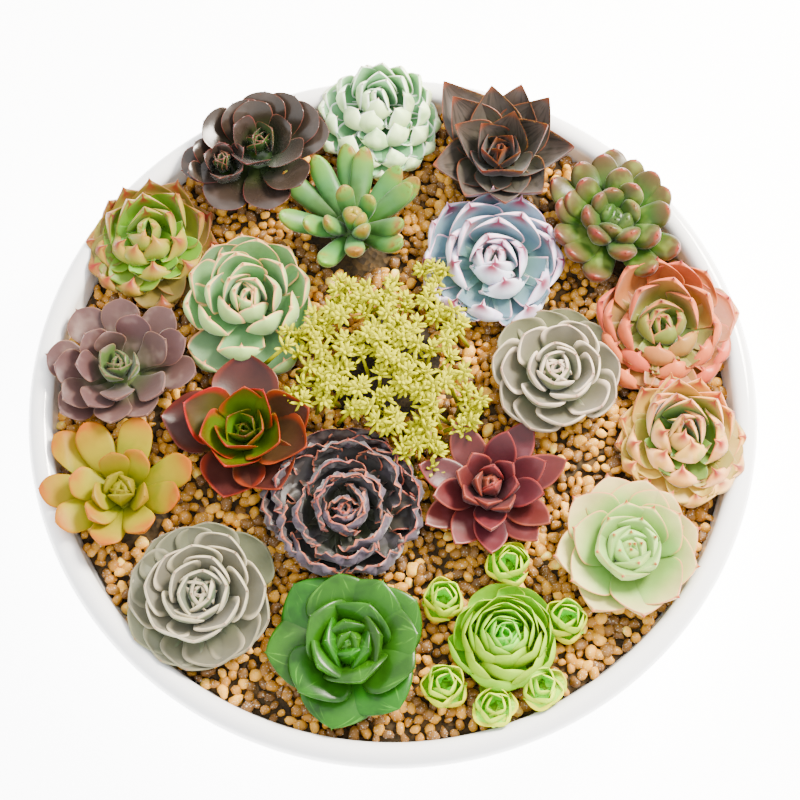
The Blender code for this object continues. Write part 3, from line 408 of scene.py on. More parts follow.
# Skin of each plant: three colours from root to tip along the lower and the upper face, how rough it is, its
# bloom (dust on the skin), glow (light through the leaf), shine and wet coat, then its coats of colour. A
# coat has its colour and strength, and the marks that it fades by: mark, where it starts, where it is full.
LOOKS = {
    "brown": dict(
        lower="3d6a25 5a3f33 62443a", upper="46602a 4c3a30 5c443c", rough=0.24, coat=0.3, shine=0.3,
        bloom=0.1, glow=0.03,
        coats=(("4e7a2c", 0.9, ("age", 0.35, 0.05)),
               # The grey coat in clouds on the upper faces is a painted highlight
               ("7a6a68", 0.45, ("cloud", 0.5, 0.75), ("side", 0.3, 0.7)),
               ("a8404a", 0.8, ("margin_mm", 0.5, 0.1), ("along", 0.3, 0.55)))),
    "globe": dict(
        lower="bcd0a0 d6dcc6 e2e8da", upper="78a880 98c09c c8dcc8", rough=0.5, bloom=0.3,
        coats=(("c0a98a", 0.7, ("cloud", 0.48, 0.66), ("age", 0.6, 0.95), ("side", 0.7, 0.3)),
               ("b8d0a0", 0.5, ("cloud", 0.5, 0.35), ("side", 0.7, 0.3)),
               ("eef2ea", 0.5, ("margin_mm", 1.2, 0.2)), ("c86a5a", 0.7, ("tip_mm", 1.2, 0.5)))),
    "dark": dict(
        lower="747c54 7c6664 8c6464", upper="6c6c50 70645c 7c625a", rough=0.4, glow=0.08,
        coats=(("3c362c", 0.75, ("streak", 0.48, 0.66), ("along", 0.1, 0.4)),
               ("8a7e7a", 0.5, ("cloud", 0.5, 0.7)), ("6a4a78", 0.5, ("side", 0.6, 0.3), ("age", 0.3, 0.7)),
               ("a84438", 0.85, ("margin_mm", 0.9, 0.2), ("along", 0.2, 0.45)),
               ("b0482f", 0.7, ("tip_mm", 4.0, 1.0)))),
    "finger": dict(
        lower="5a9034 68a858 a0bc60", upper="64983c 7cb070 a8c468", rough=0.4, bloom=0.15,
        coats=(("5a8c34", 0.6, ("cloud", 0.52, 0.38), ("along", 0.75, 0.4)),
               ("c08048", 0.9, ("cloud", 0.42, 0.58), ("tip_mm", 8.0, 2.0), ("age", 0.1, 0.4)),
               ("c8a050", 0.7, ("tip_mm", 4.0, 1.0), ("age", 0.4, 0.2)),
               ("a06a34", 0.6, ("speck", 0.52, 0.66), ("tip_mm", 6.0, 1.5), ("age", 0.1, 0.4)))),
    "chunky": dict(
        lower="3a6618 5f7a26 a4543e", upper="40741a 588428 906440", rough=0.32,
        # Its pale coat in clouds, b4bc7c, is a painted highlight
        coats=(("4f7f2a", 0.9, ("age", 0.4, 0.1)), ("b4bc7c", 0.45, ("cloud", 0.52, 0.72)),
               ("b84048", 0.95, ("tip_mm", 2.0, 0.8), ("age", 0.12, 0.45)))),
    "blue": dict(
        lower="b0c4b0 dadee0 e4e2e6", upper="8aaea0 94aeb8 c0ccd2", rough=0.5, bloom=0.35,
        coats=(("c9b8d0", 0.5, ("cloud", 0.5, 0.7), ("side", 0.6, 0.3)),
               ("e4ccd8", 0.6, ("margin_mm", 1.0, 0.2), ("along", 0.35, 0.6)),
               ("b02870", 1.0, ("tip_mm", 8.5, 3.5), ("across", 0.7, 0.15)))),
    "agave": dict(
        lower="88a03c b8bc5c d4ac68", upper="90b840 a4bc4a b0b850", rough=0.4,
        coats=(("a8604c", 0.75, ("age", 0.62, 0.88), ("along", 0.1, 0.5)),
               ("b85c3c", 0.7, ("margin_mm", 0.6, 0.15), ("along", 0.4, 0.6), ("age", 0.2, 0.5)),
               ("b83040", 1.0, ("tip_mm", 8.5, 3.5), ("across", 0.6, 0.15), ("age", 0.12, 0.3)))),
    "pink_edge": dict(
        lower="98b480 c0d0ac d4dab8", upper="94b488 acc8a0 bed0b0", rough=0.5, bloom=0.3,
        coats=(("78907a", 0.6, ("age", 0.8, 1.0)),
               ("e6c4b0", 0.7, ("margin_mm", 1.3, 0.2), ("along", 0.3, 0.55)),
               ("d8605c", 0.8, ("tip_mm", 1.3, 0.6)))),
    "coral": dict(
        lower="b08a58 cc7c64 dc8c80", upper="a9b06a b8a060 c8885c", rough=0.4, bloom=0.2,
        coats=(("98ae58", 0.85, ("age", 0.4, 0.1)),
               ("cc8068", 0.75, ("age", 0.5, 0.8), ("side", 0.4, 0.8), ("along", 0.1, 0.5)),
               ("b85a48", 0.4, ("age", 0.8, 1.0)),
               ("d87c74", 0.6, ("margin_mm", 1.1, 0.2), ("along", 0.35, 0.6)),
               ("b83c64", 0.9, ("tip_mm", 2.2, 0.8)))),
    "lotus_right": dict(
        lower="8a986a 98a070 b0a88c", upper="8f9c78 a29c88 b4aca0", rough=0.5, bloom=0.3,
        coats=(("8fa07c", 0.7, ("age", 0.4, 0.1)),
               ("e4ded8", 0.85, ("margin_mm", 2.8, 0.8), ("along", 0.45, 0.7), ("age", 1.05, 0.7)),
               ("9aa068", 0.5, ("age", 0.8, 1.0)), ("c48070", 0.7, ("tip_mm", 1.4, 0.6)))),
    "mauve": dict(
        lower="7a7650 8c6062 a4767a", upper="808660 8a6264 9a7074", rough=0.4, bloom=0.2,
        coats=(("7f9a50", 0.9, ("age", 0.45, 0.25)), ("b8a4a0", 0.5, ("cloud", 0.5, 0.7)),
               ("b08078", 0.6, ("margin_mm", 0.8, 0.15), ("along", 0.35, 0.6)))),
    "peach": dict(
        lower="b8b464 e0cc9c ecccb0", upper="7fa040 98b058 c0bc80", rough=0.42, bloom=0.3,
        coats=(("f0d4cc", 0.7, ("cloud", 0.48, 0.62), ("side", 0.6, 0.3)),
               ("c8c474", 0.6, ("cloud", 0.46, 0.34), ("side", 0.6, 0.3)),
               ("d86c48", 0.55, ("cloud", 0.54, 0.68), ("tip_mm", 9.0, 2.0)),
               ("dcc088", 0.65, ("age", 0.5, 0.85), ("side", 0.4, 0.8), ("along", 0.1, 0.6)),
               ("d86450", 0.6, ("margin_mm", 0.5, 0.1), ("along", 0.5, 0.75)),
               ("c43c4c", 1.0, ("tip_mm", 7.0, 3.0), ("across", 0.75, 0.2)))),
    "red_green": dict(
        lower="7c5c20 8c2c2c 8c2034", upper="7c9820 849024 8c5c20", rough=0.34, bloom=0.0,
        coats=(("80a020", 0.9, ("age", 0.55, 0.2), ("along", 1.0, 0.7)),
               ("6e1e32", 0.95, ("age", 0.6, 0.85), ("along", 0.0, 0.4)),
               ("c81c48", 0.95, ("margin_mm", 3.6, 0.8), ("along", 0.2, 0.6), ("age", 1.1, 0.7),
                ("age", 0.1, 0.42)))),
    "ruby": dict(
        lower="602034 7a2640 943448", upper="6c2030 88243e 9c3048", rough=0.34, bloom=0.08, shine=0.3,
        coats=(("a03c34", 0.6, ("age", 0.35, 0.05)), ("a86c7c", 0.35, ("cloud", 0.52, 0.72)),
               # The light crimson edge coat is the leaves' own edge colour and also a painted highlight
               # along the rims
               ("c4485c", 0.7, ("margin_mm", 1.2, 0.2), ("along", 0.3, 0.6)))),
    "ruffled": dict(
        lower="746c64 867c86 968a96", upper="5c6048 545250 625a5c", rough=0.4, bloom=0.2, glow=0.08,
        coats=(("664440", 0.7, ("age", 0.75, 1.0)), ("8a8490", 0.4, ("cloud", 0.5, 0.7)),
               ("d8908c", 0.85, ("margin_mm", 0.9, 0.25), ("along", 0.3, 0.5)),
               ("c04c58", 0.8, ("tip_mm", 1.6, 0.8)))),
    "yellow": dict(
        lower="a8a000 c4a400 cc8c04", upper="a8a400 c8b800 cca400", rough=0.4, bloom=0.0, shine=0.1,
        # The first coat, a darker olive in clouds towards the leaf roots, is painted shade
        coats=(("98a000", 0.6, ("cloud", 0.48, 0.66), ("along", 0.85, 0.4)),
               ("cc7c20", 0.5, ("margin_mm", 0.8, 0.2), ("along", 0.5, 0.8)),
               ("cc7820", 0.85, ("tip_mm", 7.0, 1.0), ("cloud", 0.36, 0.52), ("age", 0.1, 0.4)),
               ("a8a400", 0.8, ("age", 0.5, 0.15)))),
    "pale_large": dict(
        lower="b0c07c c8d4a0 d8ddb8", upper="a4bc74 b8cc8c c8d4a4", rough=0.5, bloom=0.3,
        coats=(("ecd4cc", 0.5, ("age", 0.4, 1.0), ("along", 0.45, 0.95)),
               ("e0ac9c", 0.7, ("margin_mm", 1.0, 0.2), ("along", 0.4, 0.65), ("age", 0.3, 0.7)),
               ("d05c58", 0.9, ("tip_mm", 2.2, 1.0)))),
    "lotus_left": dict(
        lower="84926a 949c78 a8a88c", upper="8a967c a09a8a b0aa9e", rough=0.5, bloom=0.3,
        coats=(("869c80", 0.7, ("age", 0.4, 0.1)),
               ("dcd6cc", 0.85, ("margin_mm", 2.8, 0.8), ("along", 0.45, 0.7), ("age", 1.05, 0.7)),
               ("8f9a70", 0.5, ("age", 0.8, 1.0)), ("b8786c", 0.6, ("tip_mm", 1.4, 0.6)))),
    "haworthia": dict(
        lower="408004 4a8e10 549a1c", upper="3e8004 468e0c 509814", rough=0.3, coat=0.12, glow=0.3,
        shine=0.2, bloom=0.0,
        coats=(("9cc868", 0.5, ("streak", 0.58, 0.68), ("along", 0.5, 0.85)),
               ("2f6410", 0.5, ("cloud", 0.52, 0.36)))),
    "green_rose": dict(
        lower="a8c800 b8cc00 ccd800", upper="bcd850 b4d42c b8d020", rough=0.45, glow=0.2, bloom=0.0,
        shine=0.12,
        coats=(("c4e49c", 0.7, ("age", 0.45, 0.1)),
               ("ccd44c", 0.7, ("margin_mm", 0.7, 0.15), ("along", 0.4, 0.7)))),
    "offset": dict(
        lower="bcd000 ccd810 dce020", upper="d0e470 cce048 d0dc30", rough=0.45, glow=0.2, bloom=0.0,
        shine=0.12,
        coats=(("e0d450", 0.7, ("age", 0.7, 1.0), ("along", 0.4, 0.8)),
               ("dcdc60", 0.7, ("margin_mm", 0.7, 0.15), ("along", 0.4, 0.7)))),
}


def between(pair, share):
    """The value at a share of the way from the first to the second."""
    return pair[0] + (pair[1] - pair[0]) * share


def linear(hex_colour):
    """An sRGB hex colour as the linear colour that shaders take."""
    channels = [int(hex_colour[i:i + 2], 16) / 255 for i in (0, 2, 4)]
    return tuple(c / 12.92 if c <= 0.04045 else ((c + 0.055) / 1.055) ** 2.4 for c in channels) + (1.0,)


def painted(hex_colour):
    """The skin colour that the film curve shows as this sRGB colour under the scene's light."""
    shown = [min(0.97, int(hex_colour[i:i + 2], 16) / 255) for i in (0, 2, 4)]
    light = [FILM_MIDDLE * (c / (1 - c)) ** FILM_SLOPE for c in shown]
    warm = max(0, light[0] - light[2])
    light = (light[0] - WARM_RED * warm, light[1] + WARM_GREEN * warm, light[2])
    grey = FILM_MIXING * sum(light) / 3
    return tuple(min(0.95, max(0.002, (c - grey) / (1 - FILM_MIXING) / LIGHT)) for c in light) + (1.0,)


def node(tree, kind, inputs=None, stops=None, out=0, **settings):
    """Add a node with its settings and colour stops, link or set its inputs, and give back one output."""
    made = tree.nodes.new(kind)
    for name, value in settings.items():
        setattr(made, name, value)
    if stops:
        places, colours = stops
        elements = made.color_ramp.elements
        while len(elements) < len(places):
            elements.new(0.5)
        for element, place, colour in zip(elements, places, colours.split()):
            element.position = place
            element.color = painted(colour)
    for key, value in (inputs or {}).items():
        if isinstance(value, bpy.types.NodeSocket):
            tree.links.new(value, made.inputs[key])
        else:
            made.inputs[key].default_value = value
    return made.outputs[out] if len(made.outputs) else None


def material_of(name, paint):
    """A material whose nodes a function paints and whose surface is what it gives back."""
    material = bpy.data.materials.new(name)
    material.use_nodes = True
    tree = material.node_tree
    tree.nodes.clear()
    node(tree, "ShaderNodeOutputMaterial", {"Surface": paint(tree)})
    return material


def leaf_skin(tree, look):
    """A succulent's waxy skin: soft light in the flesh, under coats of colour that fade by the marks."""
    values = {mark: node(tree, "ShaderNodeAttribute", out="Fac", attribute_name=mark) for mark in LEAF_MARKS}
    place = node(tree, "ShaderNodeTexCoord").node.outputs
    for value, scale, detail in (("cloud", CLOUDS_PER_M, 2.0), ("speck", SPECKS_PER_M, 3.0)):
        values[value] = node(
            tree, "ShaderNodeTexNoise", {"Vector": place["Object"], "Scale": scale, "Detail": detail})
    shift = node(tree, "ShaderNodeCombineXYZ", {0: values["mark"], 1: values["mark"], 2: values["side"]})
    stretched = node(tree, "ShaderNodeVectorMath", {0: place["UV"], 1: STREAKS}, operation="MULTIPLY")
    moved = node(
        tree, "ShaderNodeVectorMath", {0: shift, 1: STREAK_SHIFT, 2: stretched}, operation="MULTIPLY_ADD")
    values["streak"] = node(tree, "ShaderNodeTexNoise", {"Vector": moved, "Scale": 1.0, "Detail": 2.0})
    lower, upper = (
        node(tree, "ShaderNodeValToRGB", {0: values["along"]}, stops=(RAMP_PLACES, look[face]))
        for face in ("lower", "upper"))
    is_upper = node(
        tree, "ShaderNodeMapRange", {0: values["side"], 1: 0.3, 2: 0.7}, interpolation_type="SMOOTHSTEP")
    colour = node(tree, "ShaderNodeMix", {0: is_upper, 6: lower, 7: upper}, out=2, data_type="RGBA")
    for coat, strength, *fades in look["coats"]:
        factor = strength
        for mark, start, end in fades:
            faded = node(tree, "ShaderNodeMapRange", {0: values[mark], 1: start, 2: end},
                         interpolation_type="SMOOTHSTEP")
            factor = node(tree, "ShaderNodeMath", {0: faded, 1: factor}, operation="MULTIPLY")
        colour = node(
            tree, "ShaderNodeMix", {0: factor, 6: colour, 7: painted(coat)}, out=2, data_type="RGBA")
    shade = node(tree, "ShaderNodeMapRange", {0: values["cloud"], 1: 0.3, 2: 0.7, 3: 0.86, 4: 1.12})
    own = node(tree, "ShaderNodeMapRange", {0: values["mark"], 3: 0.92, 4: 1.06})
    value = node(tree, "ShaderNodeMath", {0: shade, 1: own}, operation="MULTIPLY")
    hue = node(tree, "ShaderNodeMapRange", {0: values["mark"], 3: 0.49, 4: 0.51})
    colour = node(tree, "ShaderNodeHueSaturation", {"Hue": hue, "Value": value, "Color": colour})
    bump = node(tree, "ShaderNodeBump", {"Height": values["speck"], "Strength": 0.25, "Distance": 0.0002})
    return node(tree, "ShaderNodeBsdfPrincipled", {
        "Base Color": colour, "Roughness": look["rough"], "Normal": bump,
        "Specular IOR Level": look.get("shine", 0.25),
        "Subsurface Weight": look.get("glow", 0.2), "Subsurface Radius": (1.0, 0.8, 0.4),
        "Subsurface Scale": 0.002, "Sheen Weight": look.get("bloom", 0.15), "Sheen Roughness": 0.4,
        "Coat Weight": look.get("coat", 0.0), "Coat Roughness": 0.2})


def white_glaze(tree):
    """White stoneware glaze: clean and glossy, with a faint warm cloud in it."""
    place = node(tree, "ShaderNodeTexCoord", out="Object")
    cloud = node(tree, "ShaderNodeTexNoise", {"Vector": place, "Scale": GLAZE_CLOUDS_PER_M, "Detail": 2.0})
    colour = node(tree, "ShaderNodeValToRGB", {0: cloud}, stops=((0.3, 0.7), "f4f3f0 f9f8f5"))
    bump = node(tree, "ShaderNodeBump", {"Height": cloud, "Strength": 0.2, "Distance": 0.0004})
    return node(tree, "ShaderNodeBsdfPrincipled", {
        "Base Color": colour, "Roughness": 0.16, "Coat Weight": 0.5, "Coat Roughness": 0.05, "Normal": bump})


def potting_soil(tree):
    """Dark moist potting mix round the sedum, and brown grit in the gaps of the pebbles."""
    place = node(tree, "ShaderNodeTexCoord", out="Object")
    crumbs = node(tree, "ShaderNodeTexVoronoi", {"Vector": place, "Scale": CRUMBS_PER_M}).node.outputs
    mound, grit = (
        node(tree, "ShaderNodeValToRGB", {0: crumbs["Color"]}, stops=((0.1, 0.6, 0.95), tones))
        for tones in ("2a1c12 4e3620 7a5a3a", "4a2e16 6e4a24 94683c"))
    middle = (SEDUM_MIDDLE[0] * MM, SEDUM_MIDDLE[1] * MM, SOIL_TOP * MM)
    away = node(tree, "ShaderNodeVectorMath", {0: place, 1: middle}, out="Value", operation="DISTANCE")
    starts, ends = ((MOUND_RADIUS + more) * MM for more in MOUND_TO_GRIT)
    gritty = node(tree, "ShaderNodeMapRange", {0: away, 1: starts, 2: ends})
    colour = node(tree, "ShaderNodeMix", {0: gritty, 6: mound, 7: grit}, out=2, data_type="RGBA")
    bump = node(tree, "ShaderNodeBump", {"Height": crumbs["Distance"], "Strength": 0.8, "Distance": 0.0008})
    return node(tree, "ShaderNodeBsdfPrincipled", {"Base Color": colour, "Roughness": 0.95, "Normal": bump})


def river_gravel(tree):
    """River gravel: each stone its own tan, ochre, cream or brown, with pale quartz grains."""
    tone = node(tree, "ShaderNodeAttribute", out="Fac", attribute_name="tone")
    place = node(tree, "ShaderNodeTexCoord", out="Object")
    cloud = node(tree, "ShaderNodeTexNoise", {"Vector": place, "Scale": STONE_CLOUDS_PER_M, "Detail": 3.0})
    mixed = node(tree, "ShaderNodeMath", {0: cloud, 1: 0.35, 2: tone}, operation="MULTIPLY_ADD")
    place_in_ramp = node(tree, "ShaderNodeMapRange", {0: mixed, 1: 0.1, 2: 1.25})
    colour = node(tree, "ShaderNodeValToRGB", {0: place_in_ramp}, stops=(
        (0.0, 0.25, 0.5, 0.75, 0.9, 1.0), "9c6028 bc8840 d2a650 dcbc6c e6d094 ece6c4"))
    grain = node(tree, "ShaderNodeTexNoise", {"Vector": place, "Scale": GRAINS_PER_M, "Detail": 2.0})
    sparkle = node(tree, "ShaderNodeMapRange", {0: grain, 1: 0.62, 2: 0.7, 4: 0.6})
    colour = node(
        tree, "ShaderNodeMix", {0: sparkle, 6: colour, 7: painted("fbf6ea")}, out=2, data_type="RGBA")
    bump = node(tree, "ShaderNodeBump", {"Height": grain, "Strength": 0.5, "Distance": 0.0003})
    return node(tree, "ShaderNodeBsdfPrincipled", {"Base Color": colour, "Roughness": 0.55, "Normal": bump})


def yellow_needles(tree):
    """Golden sedum: bright lemon needles, with painted shade: greener and darker deep in the clump."""
    place = node(tree, "ShaderNodeTexCoord", out="Object")
    height = node(tree, "ShaderNodeSeparateXYZ", {0: place}, out=2)
    cloud = node(tree, "ShaderNodeTexNoise", {"Vector": place, "Scale": SEDUM_SHADES_PER_M})
    # Painted shade: the needles turn darker and greener from high in the clump down towards the soil
    dark, bright = ((GRAVEL_LEVEL + rise) * MM for rise in NEEDLE_SHADE)
    level = node(tree, "ShaderNodeMapRange", {0: height, 1: dark, 2: bright})
    mixed = node(tree, "ShaderNodeMath", {0: cloud, 1: 0.4, 2: level}, operation="MULTIPLY_ADD")
    colour = node(tree, "ShaderNodeValToRGB", {0: mixed}, stops=(
        (0.15, 0.45, 0.8, 1.0), "9a9400 c0ba00 cec800 d8d200"))
    return node(tree, "ShaderNodeBsdfPrincipled", {
        "Base Color": colour, "Roughness": 0.6, "Specular IOR Level": 0.0, "Subsurface Weight": 0.1,
        "Subsurface Radius": (1.0, 0.9, 0.1), "Subsurface Scale": 0.002})


def white_paper(tree):
    """Matt white backdrop paper, lit so evenly that it shows no shadow."""
    return node(tree, "ShaderNodeBsdfPrincipled", {
        "Base Color": linear("f6f6f6"), "Roughness": 0.9, "Emission Color": linear("ffffff"),
        "Emission Strength": PAPER_GLOW})


def smooth_curve(knots, places):
    """A smooth curve through the knots, read at the places."""
    x, y = np.array(knots, float).T
    slope = np.gradient(y, x)
    i = np.clip(np.searchsorted(x, places, side="right") - 1, 0, len(x) - 2)
    run = x[i + 1] - x[i]
    u = (places - x[i]) / run
    return ((2 * u**3 - 3 * u**2 + 1) * y[i] + (u**3 - 2 * u**2 + u) * run * slope[i]
            + (3 * u**2 - 2 * u**3) * y[i + 1] + (u**3 - u**2) * run * slope[i + 1])


def swelling(shape, places):
    """Share of the full width along a leaf; the power makes the end round."""
    power, knots = shape
    return np.maximum(smooth_curve([(x, y**power) for x, y in knots], places), 0) ** (1 / power)


def tip_height(heights, share):
    """Height through the heart's, the middle leaves' and the edge leaves' height."""
    heart, middle, edge = heights
    bend = 2 * (heart + edge) - 4 * middle
    return heart + (edge - heart - bend) * share + bend * share**2


def resting_level(radius):
    """Lowest height that a leaf may have at a distance from the bowl's middle: the gravel, then the rim."""
    share = np.clip((radius - RIM_REST_FROM) / RIM_REST_RUN, 0, 1)
    return GRAVEL_REST + (RIM_HEIGHT + RIM_CLEAR - GRAVEL_REST) * share * share * (3 - 2 * share)


def laid_clear(points):
    """Points bent softly up off the gravel and the rim, and kept within the rim's outline."""
    radius = np.hypot(points[..., 0], points[..., 1])
    points[..., :2] *= np.minimum(1, OUTER_LIMIT / np.maximum(radius, 1))[..., None]
    level = resting_level(radius)
    over = points[..., 2] - level
    points[..., 2] = level + np.where(over > SOFT, over, SOFT * np.exp(np.minimum(over / SOFT - 1, 0)))
    return points


def reach_to_rim(heart, out):
    """Distance from a heart to the rim's outline along a heading."""
    along = heart[0] * out[0] + heart[1] * out[1]
    return -along + math.sqrt(along**2 + TIP_LIMIT**2 - heart[0] ** 2 - heart[1] ** 2)


def leaf_path(plant, heart, out, reach, share, rng):
    """A leaf's middle line from root to tip, as distances from the heart and heights over the gravel."""
    facing = (1 - out[1]) / 2
    root_height = between((ROOT_RISE * plant["heights"][0], LOWEST_ROOT), share**ROOT_FALL)
    root = np.array((min(ROOT_OUT[0] * reach, ROOT_OUT[1]), root_height))
    free = reach_to_rim(heart, out)
    bowed = plant["heights"][0] * (1 - FRONT_FALL * share)
    top = between((tip_height(plant["heights"], share), bowed), plant.get("nod", 0) * facing)
    tip = np.array((min(reach, free), top + RAISE * max(0, reach - free)))
    handle = HANDLE * np.hypot(*(tip - root))
    root_rise = math.radians(between(plant.get("root_rise", (0, 0)), share))
    spread = rng.uniform(-TIP_SPREAD, TIP_SPREAD)
    tip_rise = math.radians(between(plant.get("tip_rise", (0, 0)), share) + spread)
    first = root + handle * np.array((math.cos(root_rise), math.sin(root_rise)))
    last = tip - handle * np.array((math.cos(tip_rise), math.sin(tip_rise)))
    if "belly" in plant:
        room = min(reach * (1 - share) + BELLY_LEAST * facing, BELLY_MOST)
        stands_out = plant["belly"] * room * between(BELLY_FACING, facing)
        swing = reach * between(BELLY_REACH, facing) + stands_out / BELLY_SHARE
        first = np.array((swing, root[1] - BELLY_SINK * share))
        last = np.array((swing, between((root[1], tip[1]), BELLY_LEVEL)))
    u = np.linspace(0, 1, PATH_STEPS)[:, None]
    return (1 - u)**3 * root + 3 * (1 - u)**2 * u * first + 3 * (1 - u) * u**2 * last + u**3 * tip


def leaf(plant, heart, azimuth, reach, share, rng):
    """One leaf: rings of points from its root to its tip, and the marks that its skin is coloured by."""
    angle = math.radians(azimuth)
    out = np.array((math.cos(angle), math.sin(angle), 0.0))
    sideways = np.array((-math.sin(angle), math.cos(angle), 0.0))
    up = np.array((0.0, 0.0, 1.0))
    path = leaf_path(plant, heart, out, reach, share, rng)
    walked = np.concatenate(([0], np.cumsum(np.hypot(*np.diff(path, axis=0).T))))
    length = walked[-1]
    point = plant["point"]
    body = length - point
    stops = body * np.sin(np.linspace(0, np.pi / 2, BODY_RINGS + 1))
    if point:
        stops = np.concatenate((stops, body + point * np.arange(1, POINT_RINGS + 1) / POINT_RINGS))
    centre, heading = (
        np.stack([np.interp(stops, walked, curve[:, k]) for k in (0, 1)], axis=1)
        for curve in (path, np.gradient(path, walked, axis=0)))
    heading /= np.hypot(*heading.T)[:, None]
    forward = heading[:, :1] * out + heading[:, 1:] * up
    across_axis = np.broadcast_to(sideways, forward.shape)
    normal = np.cross(forward, across_axis)

    # Width and depth along the leaf, with the small point beyond its body
    share_along = np.minimum(stops / body, 1)
    half = min(between(plant["widths"], share**WIDENING), WIDEST * length) / 2
    blade = half * swelling(OUTLINES[plant["outline"]], share_along)
    spike = POINT_WIDTH * point * np.clip((length - stops) / max(point, 0.01), 0, 1) ** POINT_TAPER
    wide = np.sqrt(blade**2 + spike**2)
    deep = np.sqrt((between(plant["depths"], share) * swelling(DEPTH, share_along))**2 + (2 * spike)**2)

    # Height round each section: the keeled back, the raised edges and their waves
    phi = np.arange(AROUND) * 2 * np.pi / AROUND
    edgeward = np.cos(phi)
    round_face = np.maximum(1 - edgeward**2, 0) ** plant["margin"]
    keeled = plant["keel"] * (1 - np.abs(edgeward)) + (1 - plant["keel"]) * round_face
    upper = np.sin(phi) > -1e-6
    swell = np.where(upper, UPPER_SHARE * round_face, (UPPER_SHARE - 1) * keeled)
    raised = deep[:, None] * swell + between(plant["cup"], share) * blade[:, None] * edgeward**2
    wave = plant.get("wave", 0.0) * between(WAVE_AGE, share)
    end = (share_along**END_WAVES_FROM * np.minimum(1, (1 - share_along) / END_WAVES_CLEAR))[:, None]
    beat = WAVES * share_along[:, None] + END_WAVES * edgeward * end + rng.random()
    ripple = np.sin(2 * np.pi * beat + WAVE_LAG * np.sign(edgeward))
    raised = raised + wave * ripple * np.maximum(np.abs(edgeward)**3 * (blade / half)[:, None], end)

    # Each leaf is rolled and twisted a little, then set on its path
    sideways_by = wide[:, None] * edgeward
    roll = math.radians(rng.uniform(-ROLL_SPREAD, ROLL_SPREAD)) * share
    roll = roll + math.radians(rng.uniform(-TWIST_SPREAD, TWIST_SPREAD)) * share_along[:, None]
    flat = sideways_by * np.cos(roll) - raised * np.sin(roll)
    high = sideways_by * np.sin(roll) + raised * np.cos(roll)
    points = (np.array((*heart, GRAVEL_LEVEL)) + centre[:, None, :1] * out + centre[:, None, 1:] * up
              + flat[..., None] * across_axis[:, None] + high[..., None] * normal[:, None])
    rings = np.ones_like(raised)
    along = (stops / length)[:, None] * rings
    marks = dict(
        along=along, across=np.abs(edgeward) * rings,
        side=np.where(np.abs(np.sin(phi)) < 1e-6, 0.5, np.sin(phi) > 0) * rings, age=share * rings,
        mark=rng.random() * rings, margin_mm=wide[:, None] * (1 - np.abs(edgeward)),
        tip_mm=(length - stops)[:, None] * rings, u=(0.5 + 0.5 * edgeward) * rings, v=along)
    return laid_clear(points), marks


def lathe_points(profile, steps):
    """Rings of points round the Z axis through (radius, height) pairs."""
    turn = np.arange(steps) * 2 * np.pi / steps
    radius, height = np.array(profile, float).T
    return np.stack((radius[:, None] * np.cos(turn), radius[:, None] * np.sin(turn),
                     height[:, None] * np.ones(steps)), axis=-1)


class Shell:
    """Collects rings of points with their marks and makes one smooth mesh of them."""

    def __init__(self):
        self.points, self.marks, self.faces, self.count = [], [], [], 0

    def add(self, points, marks=None):
        """Skin rings of points; the last ring is drawn together to one point."""
        rings, around = points.shape[:2]
        keep = (rings - 1) * around + 1
        index = self.count + np.arange(rings * around).reshape(rings, around)
        low, high = index[:-2], index[1:-1]
        quads = np.stack((low, np.roll(low, -1, axis=1), np.roll(high, -1, axis=1), high), axis=-1)
        self.faces += quads.reshape(-1, 4).tolist()
        last, end = index[-2], index[-1, 0]
        self.faces += [[a, b, end] for a, b in zip(last.tolist(), np.roll(last, -1).tolist())]
        flat = points.reshape(-1, 3)[:keep]
        self.points.append(flat)
        named = {mark: np.full(len(flat), NO_MARK.get(mark, 0.0)) for mark in (*LEAF_MARKS, "u", "v")}
        if marks:
            named = {mark: value.reshape(-1)[:keep] for mark, value in marks.items()}
        self.marks.append(named)
        self.count += keep

    def build(self, name, material, marked=True):
        """All that was added as one object; leaves keep their marks for their skin."""
        mesh = bpy.data.meshes.new(name)
        mesh.from_pydata(np.concatenate(self.points) * MM, [], self.faces)
        mesh.polygons.foreach_set("use_smooth", np.ones(len(self.faces), bool))
        if marked:
            joined = {mark: np.concatenate([m[mark] for m in self.marks]) for mark in self.marks[0]}
            for mark in LEAF_MARKS:
                layer = mesh.attributes.new(mark, "FLOAT", "POINT")
                layer.data.foreach_set("value", joined[mark].astype(np.float32))
            corner = np.empty(len(mesh.loops), np.int32)
            mesh.loops.foreach_get("vertex_index", corner)
            uv = np.stack([joined["u"], joined["v"]], axis=1)
            mesh.uv_layers.new(name="leaf").data.foreach_set("uv", uv[corner].astype(np.float32).ravel())
        mesh.materials.append(material)
        return placed(name, mesh)


def placed(name, data):
    """An object of this data, unturned at the origin and linked to the scene."""
    made = bpy.data.objects.new(name, data)
    bpy.context.collection.objects.link(made)
    return made


def stem_and_crown(shell, heart, height, crown_radius):
    """The stem in the soil and the low crown that the leaves grow from."""
    foot = np.array(heart) * min(1, STEM_RING / max(math.hypot(*heart), 1))
    neck_height, neck_radius = CROWN_NECK
    steps = ((STEM_FOOT - GRAVEL_LEVEL, STEM_RADIUS, 0), (STEM_RISE, STEM_RADIUS, 0),
             (CROWN_RISE[0], crown_radius, CROWN_LEAN), (CROWN_RISE[1], crown_radius, 1),
             (neck_height * height, crown_radius * neck_radius, 1), (CROWN_TOP * height, CROWN_TIP, 1),
             (CROWN_TOP * height, 0, 1))
    rings = lathe_points([(radius, GRAVEL_LEVEL + rise) for rise, radius, _ in steps], AROUND)
    for ring, (_, _, share) in zip(rings, steps):
        ring[:, :2] += foot + (np.array(heart) - foot) * share
    shell.add(rings)


